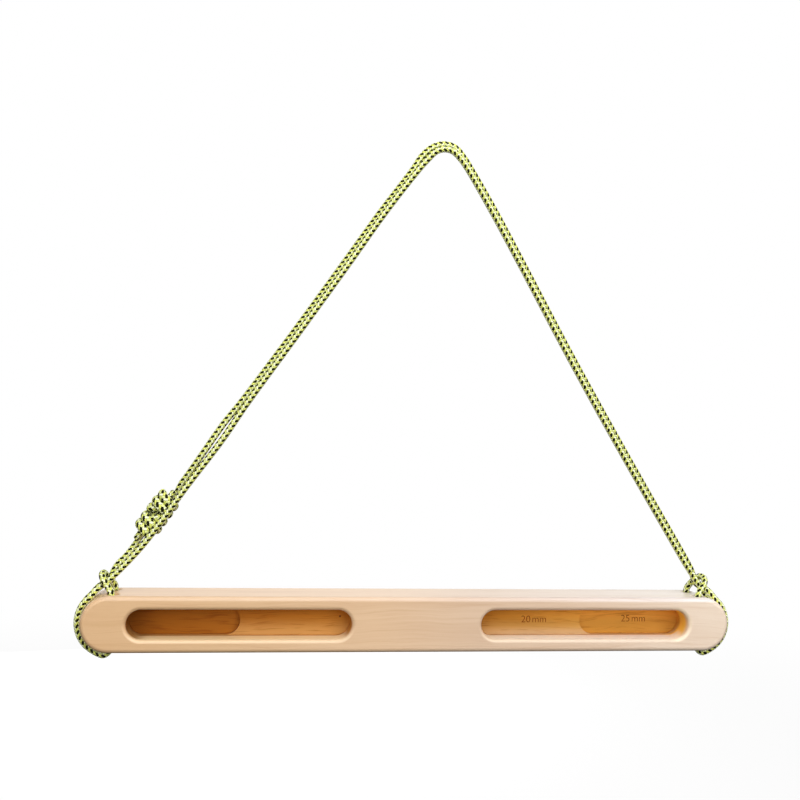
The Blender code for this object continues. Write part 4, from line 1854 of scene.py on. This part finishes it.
@dataclass
class Studio:
    """Pale floor, white surroundings and soft lamps."""

    floor_level: float = -0.70
    floor_size: float = 12.0
    surround: float = 0.30
    lamps: tuple[SoftLamp, ...] = (
        SoftLamp("key_lamp", (0.50, -1.40, 0.30), 1.4, 18.0),
        SoftLamp("top_lamp", (0.10, -0.75, 1.15), 1.4, 11.2),
        SoftLamp("fill_lamp", (-0.62, -1.25, 0.30), 1.2, 9.0, aim=(-0.05, 0.0, -0.34)),
        SoftLamp("sheen_lamp", (0.55, -0.30, 1.10), 1.6, 9.0, Glow.SHEEN, (0.1, 0.0, -0.34)),
        SoftLamp("back_sheen", (0.75, 2.80, 0.30), 3.2, 5.5, Glow.SHEEN, (0.1, 0.0, -0.34)),
        SoftLamp("back_lamp", (-0.25, 1.45, -0.26), 1.0, 18.0, Glow.PLAIN),
    )

    def build(self) -> None:
        """Lay the floor, light the surroundings and hang the lamps."""
        bpy.ops.object.select_all(action="DESELECT")
        bpy.ops.mesh.primitive_plane_add(size=self.floor_size, location=(0, 0, self.floor_level))
        floor = bpy.context.object
        floor.name = "studio_floor"
        bpy.ops.object.transform_apply(location=True, rotation=True, scale=True)
        Workbench.dress(floor, PaleGround().material())
        self._surround()
        for lamp in self.lamps:
            lamp.build()
        bpy.context.scene.view_settings.view_transform = "Standard"

    def _surround(self) -> None:
        """White world as the camera and glossy surfaces see it, softer as light."""
        world = bpy.data.worlds.new("studio_surround")
        bpy.context.scene.world = world
        world.use_nodes = True
        tree = world.node_tree
        shade = tree.nodes["Background"]
        shade.inputs["Color"].default_value = (1.0, 1.0, 1.0, 1.0)
        path = tree.nodes.new("ShaderNodeLightPath")
        seen = tree.nodes.new("ShaderNodeMath")
        seen.operation = "MAXIMUM"
        tree.links.new(path.outputs["Is Camera Ray"], seen.inputs[0])
        tree.links.new(path.outputs["Is Glossy Ray"], seen.inputs[1])
        level = tree.nodes.new("ShaderNodeMapRange")
        level.inputs["To Min"].default_value = self.surround
        level.inputs["To Max"].default_value = 1.0
        tree.links.new(seen.outputs[0], level.inputs["Value"])
        tree.links.new(level.outputs[0], shade.inputs["Strength"])


def main() -> None:
    """Build the camera, the cord, the board, its marks and the studio in order."""
    logging.basicConfig(level=logging.INFO, format="%(message)s")
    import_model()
    Viewpoint().build()
    board = Board()
    pieces = Sling(board).build(Braid())
    pieces.append(board.build(Beech()))
    front = -board.depth / 2
    for mark in (DepthMark("mark_20", "20 mm", (0.0862, -0.0018), front + board.pockets.floor_depth),
                 DepthMark("mark_25", "25 mm", (0.1700, -0.0021), front + board.pockets.step_depth)):
        pieces.append(mark.build(Scorch()))
    for piece in pieces:
        LOG.info("%s: %d faces", piece.name, len(piece.data.polygons))
    Studio().build()


if __name__ == "__main__":
    main()
